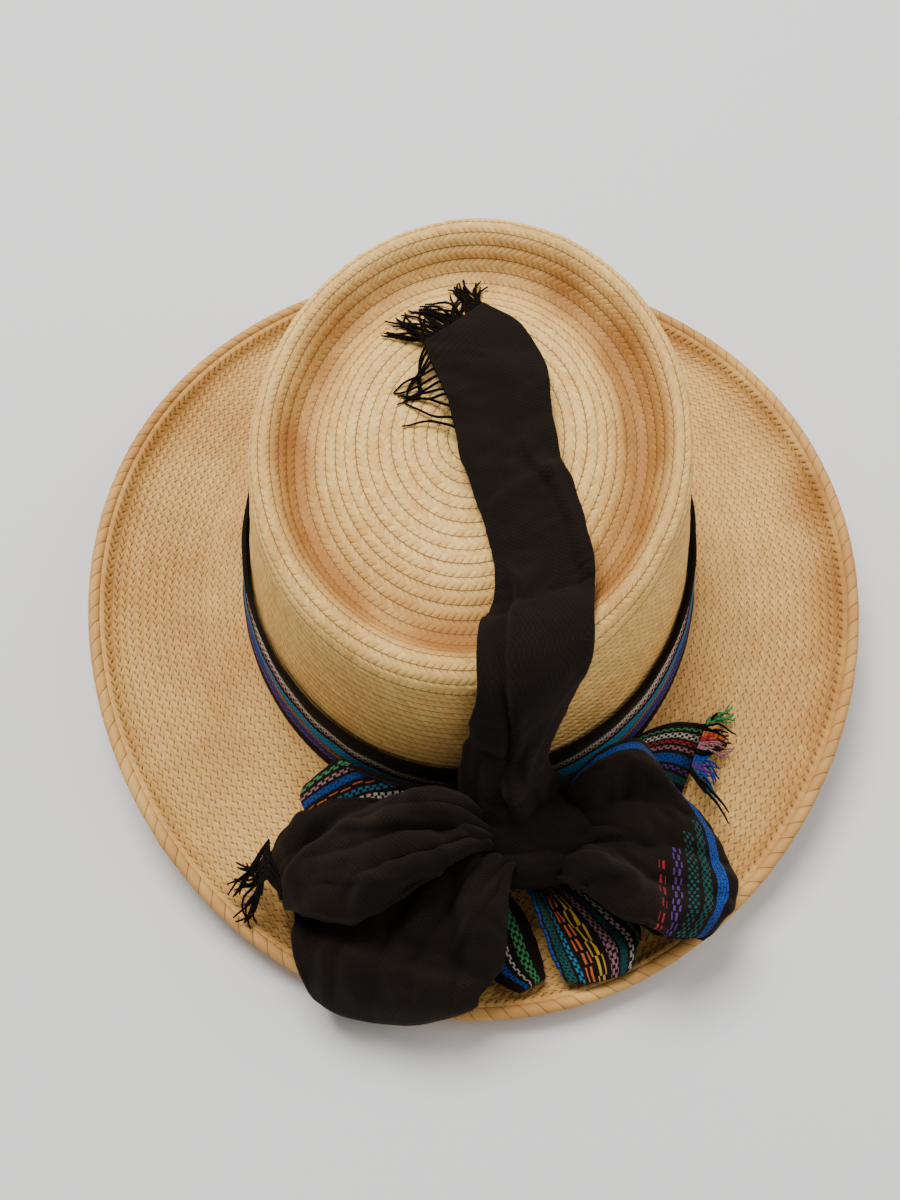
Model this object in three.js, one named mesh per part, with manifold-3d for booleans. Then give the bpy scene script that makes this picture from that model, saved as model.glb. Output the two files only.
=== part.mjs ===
// A palm-leaf hat: an oval crown with a sunken top, a dished brim with a rolled edge, and a long
// woven cotton sash that goes round the crown and is tied in a loose bow on the brim.
// Millimetres, +Z up, the bow on the -Y side, the hat resting on the plane z = 0.
import * as THREE from "three";
import Module from "manifold-3d";

const wasm = await Module();
wasm.setup();

// Palm plait
const plaitWall = 2;
const seatGap = 0.3; // left between pieces that touch
const footWidth = 172; // outside of the crown where it meets the brim
const footLength = 202;
const lipWidth = 148; // outside of the crown's top
const lipLength = 184;
const lipLean = 1; // how far the top sits towards the bow
const lipTilt = 6; // the far side of the top is higher by this
const lipTurn = -5; // degrees that the top's oval is turned from the brim's
const crownHeight = 100; // floor to the crest of the lip
const creaseDepth = 12; // groove below the crest
const brimWidth = 289; // over the rolled edge
const brimLength = 334;
const crownOffset = 7; // crown's centre behind the brim's centre
const crownAside = 1.5; // and to its left
const bowOverhang = 2; // the bow hangs past the brim by about twice this
const footRise = 7; // brim's underside above the floor at the crown
const sideLift = 18; // the brim's sides above its front and back
const edgeRise = 8; // turned-up edge
const rollDiameter = 4.4;

// Cotton sash
const clothWall = 2.4;
const sashWidth = 84;
const bandHeight = 31; // folded lengthwise round the crown
const bandFold = 1.2; // depth of the band's folds
const bowHeight = 32;
const rippleHeight = 1.6; // folds along the bow's cloth
const layerGap = 1.2; // between a loop's two layers
const tailStart = 36; // how far up the crown's front the long tail begins
const tailLength = 192;
const tailPuff = 4;
const tailSag = 0.5;
const knotWidth = 46;
const knotDepth = 24;
const knotHeight = 34;
const threadLock = 1.6; // thickness of one lock of the fringe
const headShare = 0.62; // radius of the bar that holds the locks, as a share of a lock's thickness
const lockTaper = 0.45; // a lock's end is thinner by this share
const lockUneven = 0.22; // locks are shorter by up to twice this share
const lockWander = 14; // degrees that a lock turns from its neighbours
const crownFringe = 17; // lengths of the three fringes
const leftFringe = 15;
const rightFringe = 15;

const degrees = Math.PI / 180;
const brimY = bowOverhang;
const crownY = brimY + crownOffset;
const lipY = crownY - lipLean;
const crownX = -crownAside;
const crownFront = crownY - footLength / 2;
const frontDepth = crownFront - (brimY - brimLength / 2);

const straw = { color: 0xd9b47c, roughness: 0.75, metalness: 0 };
const cotton = { color: 0x15120f, roughness: 0.95, metalness: 0 };
const striped = { color: 0x1d3038, roughness: 0.95, metalness: 0 };

// Point on an oval of the given half sizes round a centre, turned by some degrees.
function onOval(halfX, halfY, [centreX, centreY], angle, turned = 0) {
  const [x, y] = [halfX * Math.cos(angle), halfY * Math.sin(angle)];
  const [c, s] = [Math.cos(turned * degrees), Math.sin(turned * degrees)];
  return { x: centreX + c * x - s * y, y: centreY + s * x + c * y };
}

const mix = (a, b, share) => a + (b - a) * share;

// A table's named columns at a place between its rows, on a smooth curve through them.
function between(rows, place) {
  const at = Math.min(Math.max(place, 0), 1) * (rows.length - 1);
  const first = Math.min(Math.floor(at), rows.length - 2);
  const t = at - first;
  const row = (i) => rows[Math.min(Math.max(i, 0), rows.length - 1)];
  const made = {};
  for (const name of Object.keys(rows[0])) {
    const [a, b, c, d] = [-1, 0, 1, 2].map((i) => row(first + i)[name]);
    made[name] =
      b + 0.5 * t * (c - a + t * (2 * a - 5 * b + 4 * c - d + t * (3 * (b - c) + d - a)));
  }
  return made;
}

// Crown: the profile from the middle of the top to the lip's outside. reach is a share of the lip's
// oval, drop a share of the crease's depth below the crest.
const topRows = [
  { reach: 0, drop: 0.6 },
  { reach: 0.26, drop: 0.48 },
  { reach: 0.5, drop: 0.5 },
  { reach: 0.66, drop: 0.76 },
  { reach: 0.75, drop: 1 },
  { reach: 0.82, drop: 0.84 },
  { reach: 0.86, drop: 0.36 },
  { reach: 0.9, drop: 0.04 },
  { reach: 0.94, drop: 0 },
  { reach: 0.98, drop: 0.2 },
  { reach: 1, drop: 0.6 },
];
// The wall below the lip: down is a share of the way to the foot, flare a share of the difference
// between the lip's oval and the foot's.
const wallRows = [
  { down: 0.24, flare: 0.2 },
  { down: 0.52, flare: 0.5 },
  { down: 0.78, flare: 0.78 },
  { down: 1, flare: 1 },
];
const lipEndDrop = topRows.at(-1).drop * creaseDepth;
const tiltAt = (halfShare, angle) => lipTilt * halfShare * Math.sin(angle);

function topPoint(row, angle) {
  const half = [lipWidth, lipLength].map((size) => (row.reach * size) / 2);
  const p = onOval(half[0], half[1], [crownX, lipY], angle, lipTurn);
  return [p.x, p.y, crownHeight - row.drop * creaseDepth + tiltAt(row.reach, angle)];
}

// Crown's outside a share of the way down its wall, and a distance outside it.
function wallPoint(down, flare, angle, outside = 0) {
  const p = onOval(
    mix(lipWidth, footWidth, flare) / 2 + outside,
    mix(lipLength, footLength, flare) / 2 + outside,
    [crownX, mix(lipY, crownY, flare)],
    angle,
    mix(lipTurn, 0, flare),
  );
  const z = mix(crownHeight - lipEndDrop, footRise, down);
  return [p.x, p.y, z + tiltAt(1 - down, angle)];
}

// Height of the crown's top over a plan point, or null outside the lip.
function crownTopAt(x, y) {
  const [c, s] = [Math.cos(lipTurn * degrees), Math.sin(lipTurn * degrees)];
  const across = (c * (x - crownX) + s * (y - lipY)) / (lipWidth / 2);
  const along = (c * (y - lipY) - s * (x - crownX)) / (lipLength / 2);
  const reach = Math.hypot(across, along);
  if (reach > 1) return null;
  const above = Math.max(topRows.findIndex((row) => row.reach >= reach), 1);
  const [a, b] = [topRows[above - 1], topRows[above]];
  const drop = mix(a.drop, b.drop, (reach - a.reach) / (b.reach - a.reach));
  return crownHeight - drop * creaseDepth + lipTilt * along;
}

// Brim: rows from the crown to the rolled edge. out is a share of the way, and the other columns are
// shares of footRise, sideLift and edgeRise.
const brimRows = [
  { out: 0, foot: 1, side: 0, turn: 0 },
  { out: 0.16, foot: 0.7, side: 0.07, turn: 0 },
  { out: 0.34, foot: 0.24, side: 0.22, turn: 0 },
  { out: 0.54, foot: 0, side: 0.5, turn: 0 },
  { out: 0.72, foot: 0, side: 0.77, turn: 0 },
  { out: 0.86, foot: 0, side: 0.97, turn: 0 },
  { out: 0.93, foot: 0, side: 1.05, turn: 0.2 },
  { out: 0.97, foot: 0, side: 1.09, turn: 0.55 },
  { out: 1, foot: 0, side: 1.1, turn: 1 },
];
const flatArc = 0.12; // the front and back stay flat while the cosine's square is under this

function sideShare(angle) {
  const c = Math.cos(angle) ** 2;
  return c <= flatArc ? 0 : ((c - flatArc) / (1 - flatArc)) ** 1.15;
}

function brimHeight(row, angle) {
  return row.foot * footRise + row.side * sideLift * sideShare(angle) + row.turn * edgeRise;
}

// Plan point a share of the way from the crown's foot to the rolled edge.
function brimPlan(out, angle) {
  const foot = [footWidth, footLength].map((size) => size / 2 + seatGap);
  const inner = onOval(foot[0], foot[1], [crownX, crownY], angle);
  const rim = [brimWidth, brimLength].map((size) => size / 2 - rollDiameter - 2 * seatGap);
  const outer = onOval(rim[0], rim[1], [0, brimY], angle);
  return { x: mix(inner.x, outer.x, out), y: mix(inner.y, outer.y, out) };
}

function brimPoint(row, angle) {
  const p = brimPlan(row.out, angle);
  return [p.x, p.y, brimHeight(row, angle)];
}

const minus = (a, b) => [a[0] - b[0], a[1] - b[1], a[2] - b[2]];
const cross = (a, b) => [
  a[1] * b[2] - a[2] * b[1],
  a[2] * b[0] - a[0] * b[2],
  a[0] * b[1] - a[1] * b[0],
];
const scaled = (a, k) => [a[0] * k, a[1] * k, a[2] * k];
const plus = (a, b) => [a[0] + b[0], a[1] + b[1], a[2] + b[2]];
const unit = (a) => scaled(a, 1 / (Math.hypot(...a) || 1));

// A closed solid from vertices and triangles, turned the right way out.
function solidFrom(points, faces) {
  const make = (list) =>
    new wasm.Manifold(
      new wasm.Mesh({
        numProp: 3,
        vertProperties: new Float32Array(points.flat()),
        triVerts: new Uint32Array(list.flat()),
      }),
    );
  const made = make(faces);
  return made.volume() < 0 ? make(faces.map(([a, b, c]) => [a, c, b])) : made;
}

// A wall on a grid of points, rows[i][j]. It stands from `below` to `above` along the grid's normals.
// ring joins the last column to the first, and pole makes the first row one point.
function wallSolid(rows, below, above, { ring = false, pole = false, grow = 0 } = {}) {
  const m = rows.length;
  const n = rows[0].length;
  const at = (i, j) =>
    rows[Math.min(Math.max(i, 0), m - 1)][ring ? (j + n) % n : Math.min(Math.max(j, 0), n - 1)];
  const points = [];
  const index = [[], []];
  [below - grow, above + grow].forEach((offset, side) => {
    for (let i = 0; i < m; i++) {
      index[side].push([]);
      for (let j = 0; j < n; j++) {
        if (pole && i === 0) {
          if (j === 0) points.push(plus(rows[0][0], [0, 0, offset]));
          index[side][0].push(points.length - 1);
          continue;
        }
        const alongRow = unit(minus(at(i, j + 1), at(i, j - 1)));
        const alongColumn = unit(minus(at(i + 1, j), at(i - 1, j)));
        let p = plus(at(i, j), scaled(unit(cross(alongColumn, alongRow)), offset));
        if (grow && !pole && (i === 0 || i === m - 1))
          p = plus(p, scaled(alongColumn, i ? grow : -grow));
        if (grow && !ring && (j === 0 || j === n - 1))
          p = plus(p, scaled(alongRow, j ? grow : -grow));
        points.push(p);
        index[side][i].push(points.length - 1);
      }
    }
  });
  const faces = [];
  const quad = (a, b, c, d) => {
    if (a !== b) faces.push([a, b, c]);
    if (c !== d) faces.push([a, c, d]);
  };
  const columns = ring ? n : n - 1;
  for (let i = 0; i < m - 1; i++)
    for (let j = 0; j < columns; j++) {
      const k = (j + 1) % n;
      quad(index[0][i][j], index[0][i][k], index[0][i + 1][k], index[0][i + 1][j]);
      quad(index[1][i + 1][j], index[1][i + 1][k], index[1][i][k], index[1][i][j]);
    }
  for (let j = 0; j < columns; j++) {
    const k = (j + 1) % n;
    if (!pole) quad(index[0][0][k], index[0][0][j], index[1][0][j], index[1][0][k]);
    quad(index[0][m - 1][j], index[0][m - 1][k], index[1][m - 1][k], index[1][m - 1][j]);
  }
  if (!ring)
    for (let i = 0; i < m - 1; i++) {
      quad(index[0][i][0], index[0][i + 1][0], index[1][i + 1][0], index[1][i][0]);
      quad(index[0][i + 1][n - 1], index[0][i][n - 1], index[1][i][n - 1], index[1][i + 1][n - 1]);
    }
  return solidFrom(points, faces.filter(([a, b, c]) => a !== b && b !== c && a !== c));
}

// A round bar along a line of points. ring joins its ends.
function barSolid(line, radiusAt, sides, ring = false) {
  const m = line.length;
  const points = [];
  const at = (i) => line[ring ? (i + m) % m : Math.min(Math.max(i, 0), m - 1)];
  for (let i = 0; i < m; i++) {
    const along = unit(minus(at(i + 1), at(i - 1)));
    const level = Math.abs(along[2]) > 0.9 ? [1, 0, 0] : [0, 0, 1];
    const across = unit(cross(along, level));
    const up = cross(across, along);
    for (let j = 0; j < sides; j++) {
      const turn = (2 * Math.PI * j) / sides;
      const r = radiusAt(i / (m - 1));
      points.push(
        plus(at(i), plus(scaled(across, r * Math.cos(turn)), scaled(up, r * Math.sin(turn)))),
      );
    }
  }
  const faces = [];
  for (let i = 0; i < (ring ? m : m - 1); i++)
    for (let j = 0; j < sides; j++) {
      const [a, b] = [i * sides + j, i * sides + ((j + 1) % sides)];
      const [c, d] = [((i + 1) % m) * sides + ((j + 1) % sides), ((i + 1) % m) * sides + j];
      faces.push([a, b, c], [a, c, d]);
    }
  if (!ring)
    for (let j = 1; j < sides - 1; j++) {
      faces.push([0, j + 1, j]);
      faces.push([(m - 1) * sides, (m - 1) * sides + j, (m - 1) * sides + j + 1]);
    }
  return solidFrom(points, faces);
}

const aroundSteps = 40;
const edgeSteps = 48;
const edgeSides = 6;
const around = (steps, point) =>
  Array.from({ length: steps }, (_, j) => point((2 * Math.PI * j) / steps));

function crownRows() {
  const top = topRows.map((row) => around(aroundSteps, (angle) => topPoint(row, angle)));
  const wall = wallRows.map((row) =>
    around(aroundSteps, (angle) => wallPoint(row.down, row.flare, angle)),
  );
  return [...top, ...wall];
}

function brimGrid() {
  return brimRows.map((row) => around(aroundSteps, (angle) => brimPoint(row, angle)));
}

// The rolled edge: a bar just outside the brim's turned-up end.
function edgeLine(steps) {
  const inset = rollDiameter / 2;
  const height = brimRows.at(-1);
  return around(steps, (angle) => {
    const p = onOval(brimWidth / 2 - inset, brimLength / 2 - inset, [0, brimY], angle);
    return [p.x, p.y, brimHeight(height, angle) + seatGap];
  });
}

// Band: up is a share of the band's height, fold a share of its fold depth.
const bandRows = [
  { up: 1, fold: 0 },
  { up: 0.8, fold: 0.9 },
  { up: 0.52, fold: 0.3 },
  { up: 0.28, fold: 1 },
  { up: 0, fold: 0.2 },
];

function bandGrid() {
  const wallHeight = crownHeight - lipEndDrop - footRise;
  const bottom = plaitWall + 2 * seatGap;
  return bandRows.map((row) =>
    around(aroundSteps, (angle) => {
      const down = 1 - (bottom + row.up * bandHeight) / wallHeight;
      return wallPoint(down, down, angle, seatGap + row.fold * bandFold);
    }),
  );
}

// What the placed pieces offer to rest on: their triangles that face up.
const covers = [];
const leastArea = 1e-6;

function addCover(mesh) {
  const corner = (i) => {
    const at = mesh.triVerts[i] * mesh.numProp;
    return Array.from(mesh.vertProperties.subarray(at, at + 3));
  };
  for (let i = 0; i < mesh.triVerts.length; i += 3) {
    const [a, b, c] = [corner(i), corner(i + 1), corner(i + 2)];
    const area = (b[0] - a[0]) * (c[1] - a[1]) - (c[0] - a[0]) * (b[1] - a[1]);
    if (area > leastArea) covers.push({ a, b, c, area });
  }
}

// Height of what lies over a plan point, or 0.
function coverAt(x, y) {
  let high = 0;
  for (const { a, b, c, area } of covers) {
    const u = ((b[0] - x) * (c[1] - y) - (c[0] - x) * (b[1] - y)) / area;
    const v = ((c[0] - x) * (a[1] - y) - (a[0] - x) * (c[1] - y)) / area;
    if (u >= 0 && v >= 0 && u + v <= 1)
      high = Math.max(high, u * a[2] + v * b[2] + (1 - u - v) * c[2]);
  }
  return high;
}

const drapeReach = 5; // cloth feels what lies this near
const nearby = [
  [0, 0],
  [drapeReach, 0],
  [-drapeReach, 0],
  [0, drapeReach],
  [0, -drapeReach],
];
const restAt = (x, y) => Math.max(...nearby.map(([dx, dy]) => coverAt(x + dx, y + dy)));

// Moves a plan point that comes too near the crown's band outwards.
function clearOfBand(x, y, clearance) {
  const half = [footWidth, footLength].map((size) => size / 2 + bandFold + clothWall + clearance);
  const reach = Math.hypot((x - crownX) / half[0], (y - crownY) / half[1]);
  if (reach >= 1) return [x, y];
  return [crownX + (x - crownX) / reach, crownY + (y - crownY) / reach];
}

// A strip of cloth. Each row is a place on its middle line: side is a share of the brim's half width,
// out a share of the brim's depth in front of the crown, lift a share of the bow's height above what
// it lies on, half a share of the sash's width, turn the way across the strip in plan and roll its
// tilt, in degrees, arch a share of the bow's height by which the middle stands above the sides, and
// layer is 1 where the strip lies on its own underside.
function stripGrid(rows, steps, columns, ripples = 0) {
  const made = [];
  for (let i = 0; i <= steps; i++) {
    const row = between(rows, i / steps);
    const x = (row.side * brimWidth) / 2;
    const y = crownFront - row.out * frontDepth;
    const [turn, roll] = [row.turn * degrees, row.roll * degrees];
    const half = row.half * sashWidth;
    const line = [];
    for (let j = 0; j <= columns; j++) {
      const s = (2 * j) / columns - 1;
      const reach = half * s * Math.cos(roll);
      const [px, py] = clearOfBand(x + Math.cos(turn) * reach, y + Math.sin(turn) * reach, seatGap);
      const wave = rippleHeight * Math.cos(Math.PI * ripples * s) * Math.min(1, 3 * row.half);
      const above = row.lift * bowHeight + row.arch * bowHeight * (1 - s * s) + wave;
      const own = row.layer * (clothWall + layerGap);
      const rest = restAt(px, py) + seatGap + clothWall / 2 + own;
      line.push([px, py, rest + Math.max(0, above + Math.sin(roll) * half * s)]);
    }
    made.push(line);
  }
  return settled(made);
}

// Cloth bridges dips: a point is lifted to the middle of its neighbours where it lies below it.
function settled(grid) {
  const passes = 3;
  let now = grid;
  for (let k = 0; k < passes; k++)
    now = now.map((line, i) =>
      line.map(([x, y, z], j) => {
        const near = [now[i - 1]?.[j], now[i + 1]?.[j], line[j - 1], line[j + 1]].filter(Boolean);
        return [x, y, Math.max(z, near.reduce((sum, p) => sum + p[2], 0) / near.length)];
      }),
    );
  return now;
}

const leftLoopRows = [
  { side: 0.0, out: 0.24, lift: 0.3, half: 0.1, turn: -36, roll: 0, arch: 0.1, layer: 1 },
  { side: -0.06, out: 0.42, lift: 0.34, half: 0.24, turn: -30, roll: 3, arch: 0.2, layer: 1 },
  { side: -0.15, out: 0.64, lift: 0.3, half: 0.34, turn: -20, roll: 3, arch: 0.24, layer: 1 },
  { side: -0.215, out: 0.84, lift: 0.22, half: 0.35, turn: -12, roll: 0, arch: 0.16, layer: 1 },
  { side: -0.24, out: 0.97, lift: 0.12, half: 0.31, turn: -9, roll: 0, arch: 0.06, layer: 1 },
  { side: -0.24, out: 1, lift: 0.06, half: 0.29, turn: -9, roll: 0, arch: 0, layer: 0.5 },
  { side: -0.23, out: 0.94, lift: 0, half: 0.28, turn: -12, roll: 0, arch: 0, layer: 0 },
  { side: -0.16, out: 0.72, lift: 0, half: 0.28, turn: -20, roll: 0, arch: 0, layer: 0 },
  { side: -0.07, out: 0.46, lift: 0, half: 0.2, turn: -28, roll: 0, arch: 0, layer: 0 },
];
const leftTailRows = [
  { side: -0.02, out: 0.16, lift: 0.4, half: 0.1, turn: 80, roll: 0, arch: 0.1, layer: 0 },
  { side: -0.13, out: 0.26, lift: 0.12, half: 0.17, turn: 84, roll: 0, arch: 0.18, layer: 0 },
  { side: -0.26, out: 0.32, lift: 0.04, half: 0.24, turn: 92, roll: 0, arch: 0.26, layer: 0 },
  { side: -0.39, out: 0.34, lift: 0.06, half: 0.23, turn: 104, roll: 0, arch: 0.22, layer: 0 },
  { side: -0.46, out: 0.37, lift: 0.02, half: 0.16, turn: 110, roll: 0, arch: 0.1, layer: 0 },
];
const stripedFoldRows = [
  { side: -0.02, out: 0.02, lift: 0.6, half: 0.1, turn: 84, roll: 24, arch: 0.05, layer: 0 },
  { side: -0.13, out: -0.02, lift: 0.5, half: 0.13, turn: 86, roll: 26, arch: 0.08, layer: 0 },
  { side: -0.27, out: -0.04, lift: 0.3, half: 0.14, turn: 100, roll: 20, arch: 0.08, layer: 0 },
  { side: -0.4, out: 0.04, lift: 0.08, half: 0.13, turn: 120, roll: 8, arch: 0.06, layer: 0 },
];
const rightLoopRows = [
  { side: 0.17, out: 0.22, lift: 0.45, half: 0.12, turn: 84, roll: 0, arch: 0.1, layer: 1 },
  { side: 0.27, out: 0.26, lift: 0.4, half: 0.24, turn: 84, roll: 0, arch: 0.24, layer: 1 },
  { side: 0.39, out: 0.32, lift: 0.3, half: 0.31, turn: 88, roll: -3, arch: 0.26, layer: 1 },
  { side: 0.5, out: 0.35, lift: 0.22, half: 0.27, turn: 94, roll: -3, arch: 0.18, layer: 1 },
  { side: 0.565, out: 0.35, lift: 0.12, half: 0.21, turn: 98, roll: 0, arch: 0.06, layer: 1 },
  { side: 0.57, out: 0.35, lift: 0.05, half: 0.2, turn: 98, roll: 0, arch: 0, layer: 0.5 },
  { side: 0.53, out: 0.34, lift: 0, half: 0.2, turn: 96, roll: 0, arch: 0, layer: 0 },
  { side: 0.41, out: 0.31, lift: 0, half: 0.24, turn: 90, roll: 0, arch: 0, layer: 0 },
  { side: 0.27, out: 0.27, lift: 0, half: 0.16, turn: 84, roll: 0, arch: 0, layer: 0 },
];
const frontFlapRows = [
  { side: 0.13, out: 0.4, lift: 0.2, half: 0.1, turn: 12, roll: 0, arch: 0.06, layer: 0 },
  { side: 0.2, out: 0.56, lift: 0.18, half: 0.2, turn: 14, roll: 0, arch: 0.1, layer: 0 },
  { side: 0.26, out: 0.7, lift: 0.1, half: 0.25, turn: 16, roll: 0, arch: 0.1, layer: 0 },
  { side: 0.275, out: 0.83, lift: 0.02, half: 0.16, turn: 12, roll: 0, arch: 0.04, layer: 0 },
];
const greenTipRows = [
  { side: 0.03, out: 0.44, lift: 0.24, half: 0.06, turn: 24, roll: 0, arch: 0.02, layer: 0 },
  { side: 0.06, out: 0.58, lift: 0.2, half: 0.1, turn: 26, roll: 0, arch: 0.05, layer: 0 },
  { side: 0.09, out: 0.74, lift: 0.1, half: 0.11, turn: 28, roll: 0, arch: 0.05, layer: 0 },
  { side: 0.13, out: 0.85, lift: 0.02, half: 0.06, turn: 32, roll: 0, arch: 0.02, layer: 0 },
];
const rightTailRows = [
  { side: 0.24, out: 0.0, lift: 0.4, half: 0.08, turn: 64, roll: 0, arch: 0.04, layer: 0 },
  { side: 0.34, out: -0.14, lift: 0.3, half: 0.11, turn: 70, roll: 0, arch: 0.08, layer: 0 },
  { side: 0.46, out: -0.24, lift: 0.14, half: 0.15, turn: 66, roll: 0, arch: 0.08, layer: 0 },
  { side: 0.55, out: -0.24, lift: 0.03, half: 0.18, turn: 66, roll: 0, arch: 0.03, layer: 0 },
];

// The tail that lies over the crown. gone is a share of the tail's length from the knot, side a share
// of the lip's half width, half a share of the sash's width, and puff a share of the tail's puff. The
// cloth is turned over where its left edge rides over its right one.
const crownTailRows = [
  { gone: 0, side: 0.22, half: 0.14, puff: 0.6, left: 0, right: 0 },
  { gone: 0.12, side: 0.2, half: 0.18, puff: 1, left: 0.2, right: 0 },
  { gone: 0.24, side: 0.2, half: 0.2, puff: 1, left: 0.6, right: 0 },
  { gone: 0.34, side: 0.24, half: 0.21, puff: 1, left: 1, right: 0.1 },
  { gone: 0.43, side: 0.28, half: 0.19, puff: 0.9, left: 0.4, right: 0.6 },
  { gone: 0.53, side: 0.24, half: 0.17, puff: 0.7, left: 0, right: 0.3 },
  { gone: 0.66, side: 0.15, half: 0.17, puff: 0.5, left: 0, right: 0 },
  { gone: 0.8, side: 0.09, half: 0.2, puff: 0.4, left: 0.1, right: 0.3 },
  { gone: 0.92, side: 0.01, half: 0.2, puff: 0.3, left: 0, right: 0.2 },
  { gone: 1, side: -0.04, half: 0.16, puff: 0.2, left: 0, right: 0 },
];

const tailFar = 0.42; // the tail's line ends this share of the lip's length behind its middle
const ringSpan = 2.4; // a ring of the lip counts where it is this many times wider than x is aside

// The crown's outside in the plane at x, from the foot up its front and over the top to the far lip.
// The cloth over it sags into the crease by the share tailSag.
function frontSection(x) {
  const onFront = (pointAt, halfWidth) => {
    let angle = -Math.PI / 2;
    for (let k = 0; k < 6; k++) angle += (x - pointAt(angle)[0]) / halfWidth;
    return pointAt(angle).slice(1);
  };
  const wall = [...wallRows].reverse().map(({ down, flare }) => {
    const extra = down > 0.5 ? seatGap + bandFold + clothWall : seatGap;
    return onFront((angle) => wallPoint(down, flare, angle, extra), lipWidth / 2);
  });
  const lip = [];
  for (const row of [...topRows].reverse())
    if (row.reach * lipWidth > ringSpan * Math.abs(x - crownX))
      lip.push(onFront((angle) => topPoint(row, angle), (row.reach * lipWidth) / 2));
  const start = lip.at(-1)[0];
  const over = [];
  const strides = 10;
  for (let k = 1; k <= strides; k++) {
    const y = mix(start, lipY + tailFar * lipLength, k / strides);
    over.push([y, crownTopAt(x, y)]);
  }
  const top = [...lip, ...over];
  const spanned = top.map(([y, z], i) => {
    let high = z;
    for (let a = 0; a < i; a++)
      for (let b = i + 1; b < top.length; b++) {
        const share = (y - top[a][0]) / (top[b][0] - top[a][0]);
        if (share > 0 && share < 1) high = Math.max(high, mix(top[a][1], top[b][1], share));
      }
    return [y, mix(high, z, tailSag)];
  });
  return [...wall, ...spanned];
}

// Place and outward normal a distance along a line of [y, z] points.
function alongSection(line, distance) {
  let left = distance;
  for (let i = 1; i < line.length; i++) {
    const step = [line[i][0] - line[i - 1][0], line[i][1] - line[i - 1][1]];
    const length = Math.hypot(...step);
    if (left <= length || i === line.length - 1) {
      const t = left / length;
      return {
        y: line[i - 1][0] + step[0] * t,
        z: line[i - 1][1] + step[1] * t,
        normal: [-step[1] / length, step[0] / length],
      };
    }
    left -= length;
  }
}

function crownTailGrid(steps, columns) {
  const made = [];
  for (let i = 0; i <= steps; i++) {
    const row = between(crownTailRows, i / steps);
    const half = row.half * sashWidth;
    const line = [];
    for (let j = 0; j <= columns; j++) {
      const s = (2 * j) / columns - 1;
      const x = (row.side * lipWidth) / 2 + half * s;
      const at = alongSection(frontSection(x), tailStart + row.gone * tailLength);
      const edge = row.left * Math.max(0, -s) ** 2 + row.right * Math.max(0, s) ** 2;
      const above = seatGap + clothWall / 2 + tailPuff * (row.puff * (1 - s * s) + edge);
      line.push([x, at.y + at.normal[0] * above, at.z + at.normal[1] * above]);
    }
    made.push(line);
  }
  return made;
}

// Knot: a lump of gathered cloth with a few soft folds round it. aside is a share of the brim's half
// width, ahead a share of the knot's depth, folds and foldDepth the number and share of its folds.
const knot = { aside: 0.1, ahead: 0.38, folds: 5, foldDepth: 0.07, rings: 8, sides: 14 };

function knotSolid(grow = 0) {
  const { rings, sides } = knot;
  const centre = [
    (knot.aside * brimWidth) / 2,
    crownFront - bandFold - clothWall - seatGap - knotDepth * knot.ahead,
    footRise + plaitWall + seatGap + knotHeight / 2,
  ];
  const points = [];
  const faces = [];
  const spot = (i, j) => {
    const down = (Math.PI * i) / rings;
    const turn = (2 * Math.PI * j) / sides;
    const swell = 1 + knot.foldDepth * Math.sin(knot.folds * down) * Math.cos(2 * turn + down);
    return plus(centre, [
      (knotWidth / 2 + grow) * swell * Math.cos(down),
      (knotDepth / 2 + grow) * swell * Math.sin(down) * Math.cos(turn),
      (knotHeight / 2 + grow) * swell * Math.sin(down) * Math.sin(turn),
    ]);
  };
  points.push(spot(0, 0), spot(rings, 0));
  for (let i = 1; i < rings; i++) for (let j = 0; j < sides; j++) points.push(spot(i, j));
  const id = (i, j) => (i === 0 ? 0 : i === rings ? 1 : 2 + (i - 1) * sides + (j % sides));
  for (let i = 0; i < rings; i++)
    for (let j = 0; j < sides; j++) {
      const [a, b, c, d] = [id(i, j), id(i, j + 1), id(i + 1, j + 1), id(i + 1, j)];
      if (i > 0) faces.push([a, b, c]);
      if (i < rings - 1) faces.push([a, c, d]);
    }
  return solidFrom(points, faces);
}

// Fringe: locks that leave a head bar, which lies along the cloth's end. swing turns each lock in
// plan, in degrees, from the way the cloth ends.
function fringeSolid(endLine, outward, length, locks, swing, heightAt) {
  const [headSides, lockSides] = [5, 4];
  let made = barSolid(endLine, () => threadLock * headShare, headSides);
  const base = Math.atan2(outward[1], outward[0]);
  for (let k = 0; k < locks; k++) {
    const share = (k + 0.5) / locks;
    const at = share * (endLine.length - 1);
    const first = Math.min(Math.floor(at), endLine.length - 2);
    const start = endLine[first].map((v, c) => mix(v, endLine[first + 1][c], at - first));
    const angle = base + (swing * (2 * share - 1) + lockWander * Math.sin(5 * k)) * degrees;
    const reach = length * (1 - lockUneven + lockUneven * Math.sin(3 * k + 1));
    const line = [0, 0.4, 1].map((t) => {
      const x = start[0] + Math.cos(angle) * reach * t;
      const y = start[1] + Math.sin(angle) * reach * t;
      const level = heightAt(x, y) + seatGap + threadLock / 2;
      return [x, y, t === 0 ? start[2] : Math.max(level, mix(start[2], level, 2 * t))];
    });
    made = made.add(barSolid(line, (t) => (threadLock / 2) * (1 - lockTaper * t), lockSides));
  }
  return made;
}

// The cloth's end line, moved out so that the fringe's head lies just past it.
function endLineOf(grid, shift) {
  const [last, before] = [grid.at(-1), grid.at(-2)];
  return last.map((p, j) => plus(p, scaled(unit(minus(p, before[j])), shift)));
}

const hat = new THREE.Group();
const placed = [];

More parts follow.
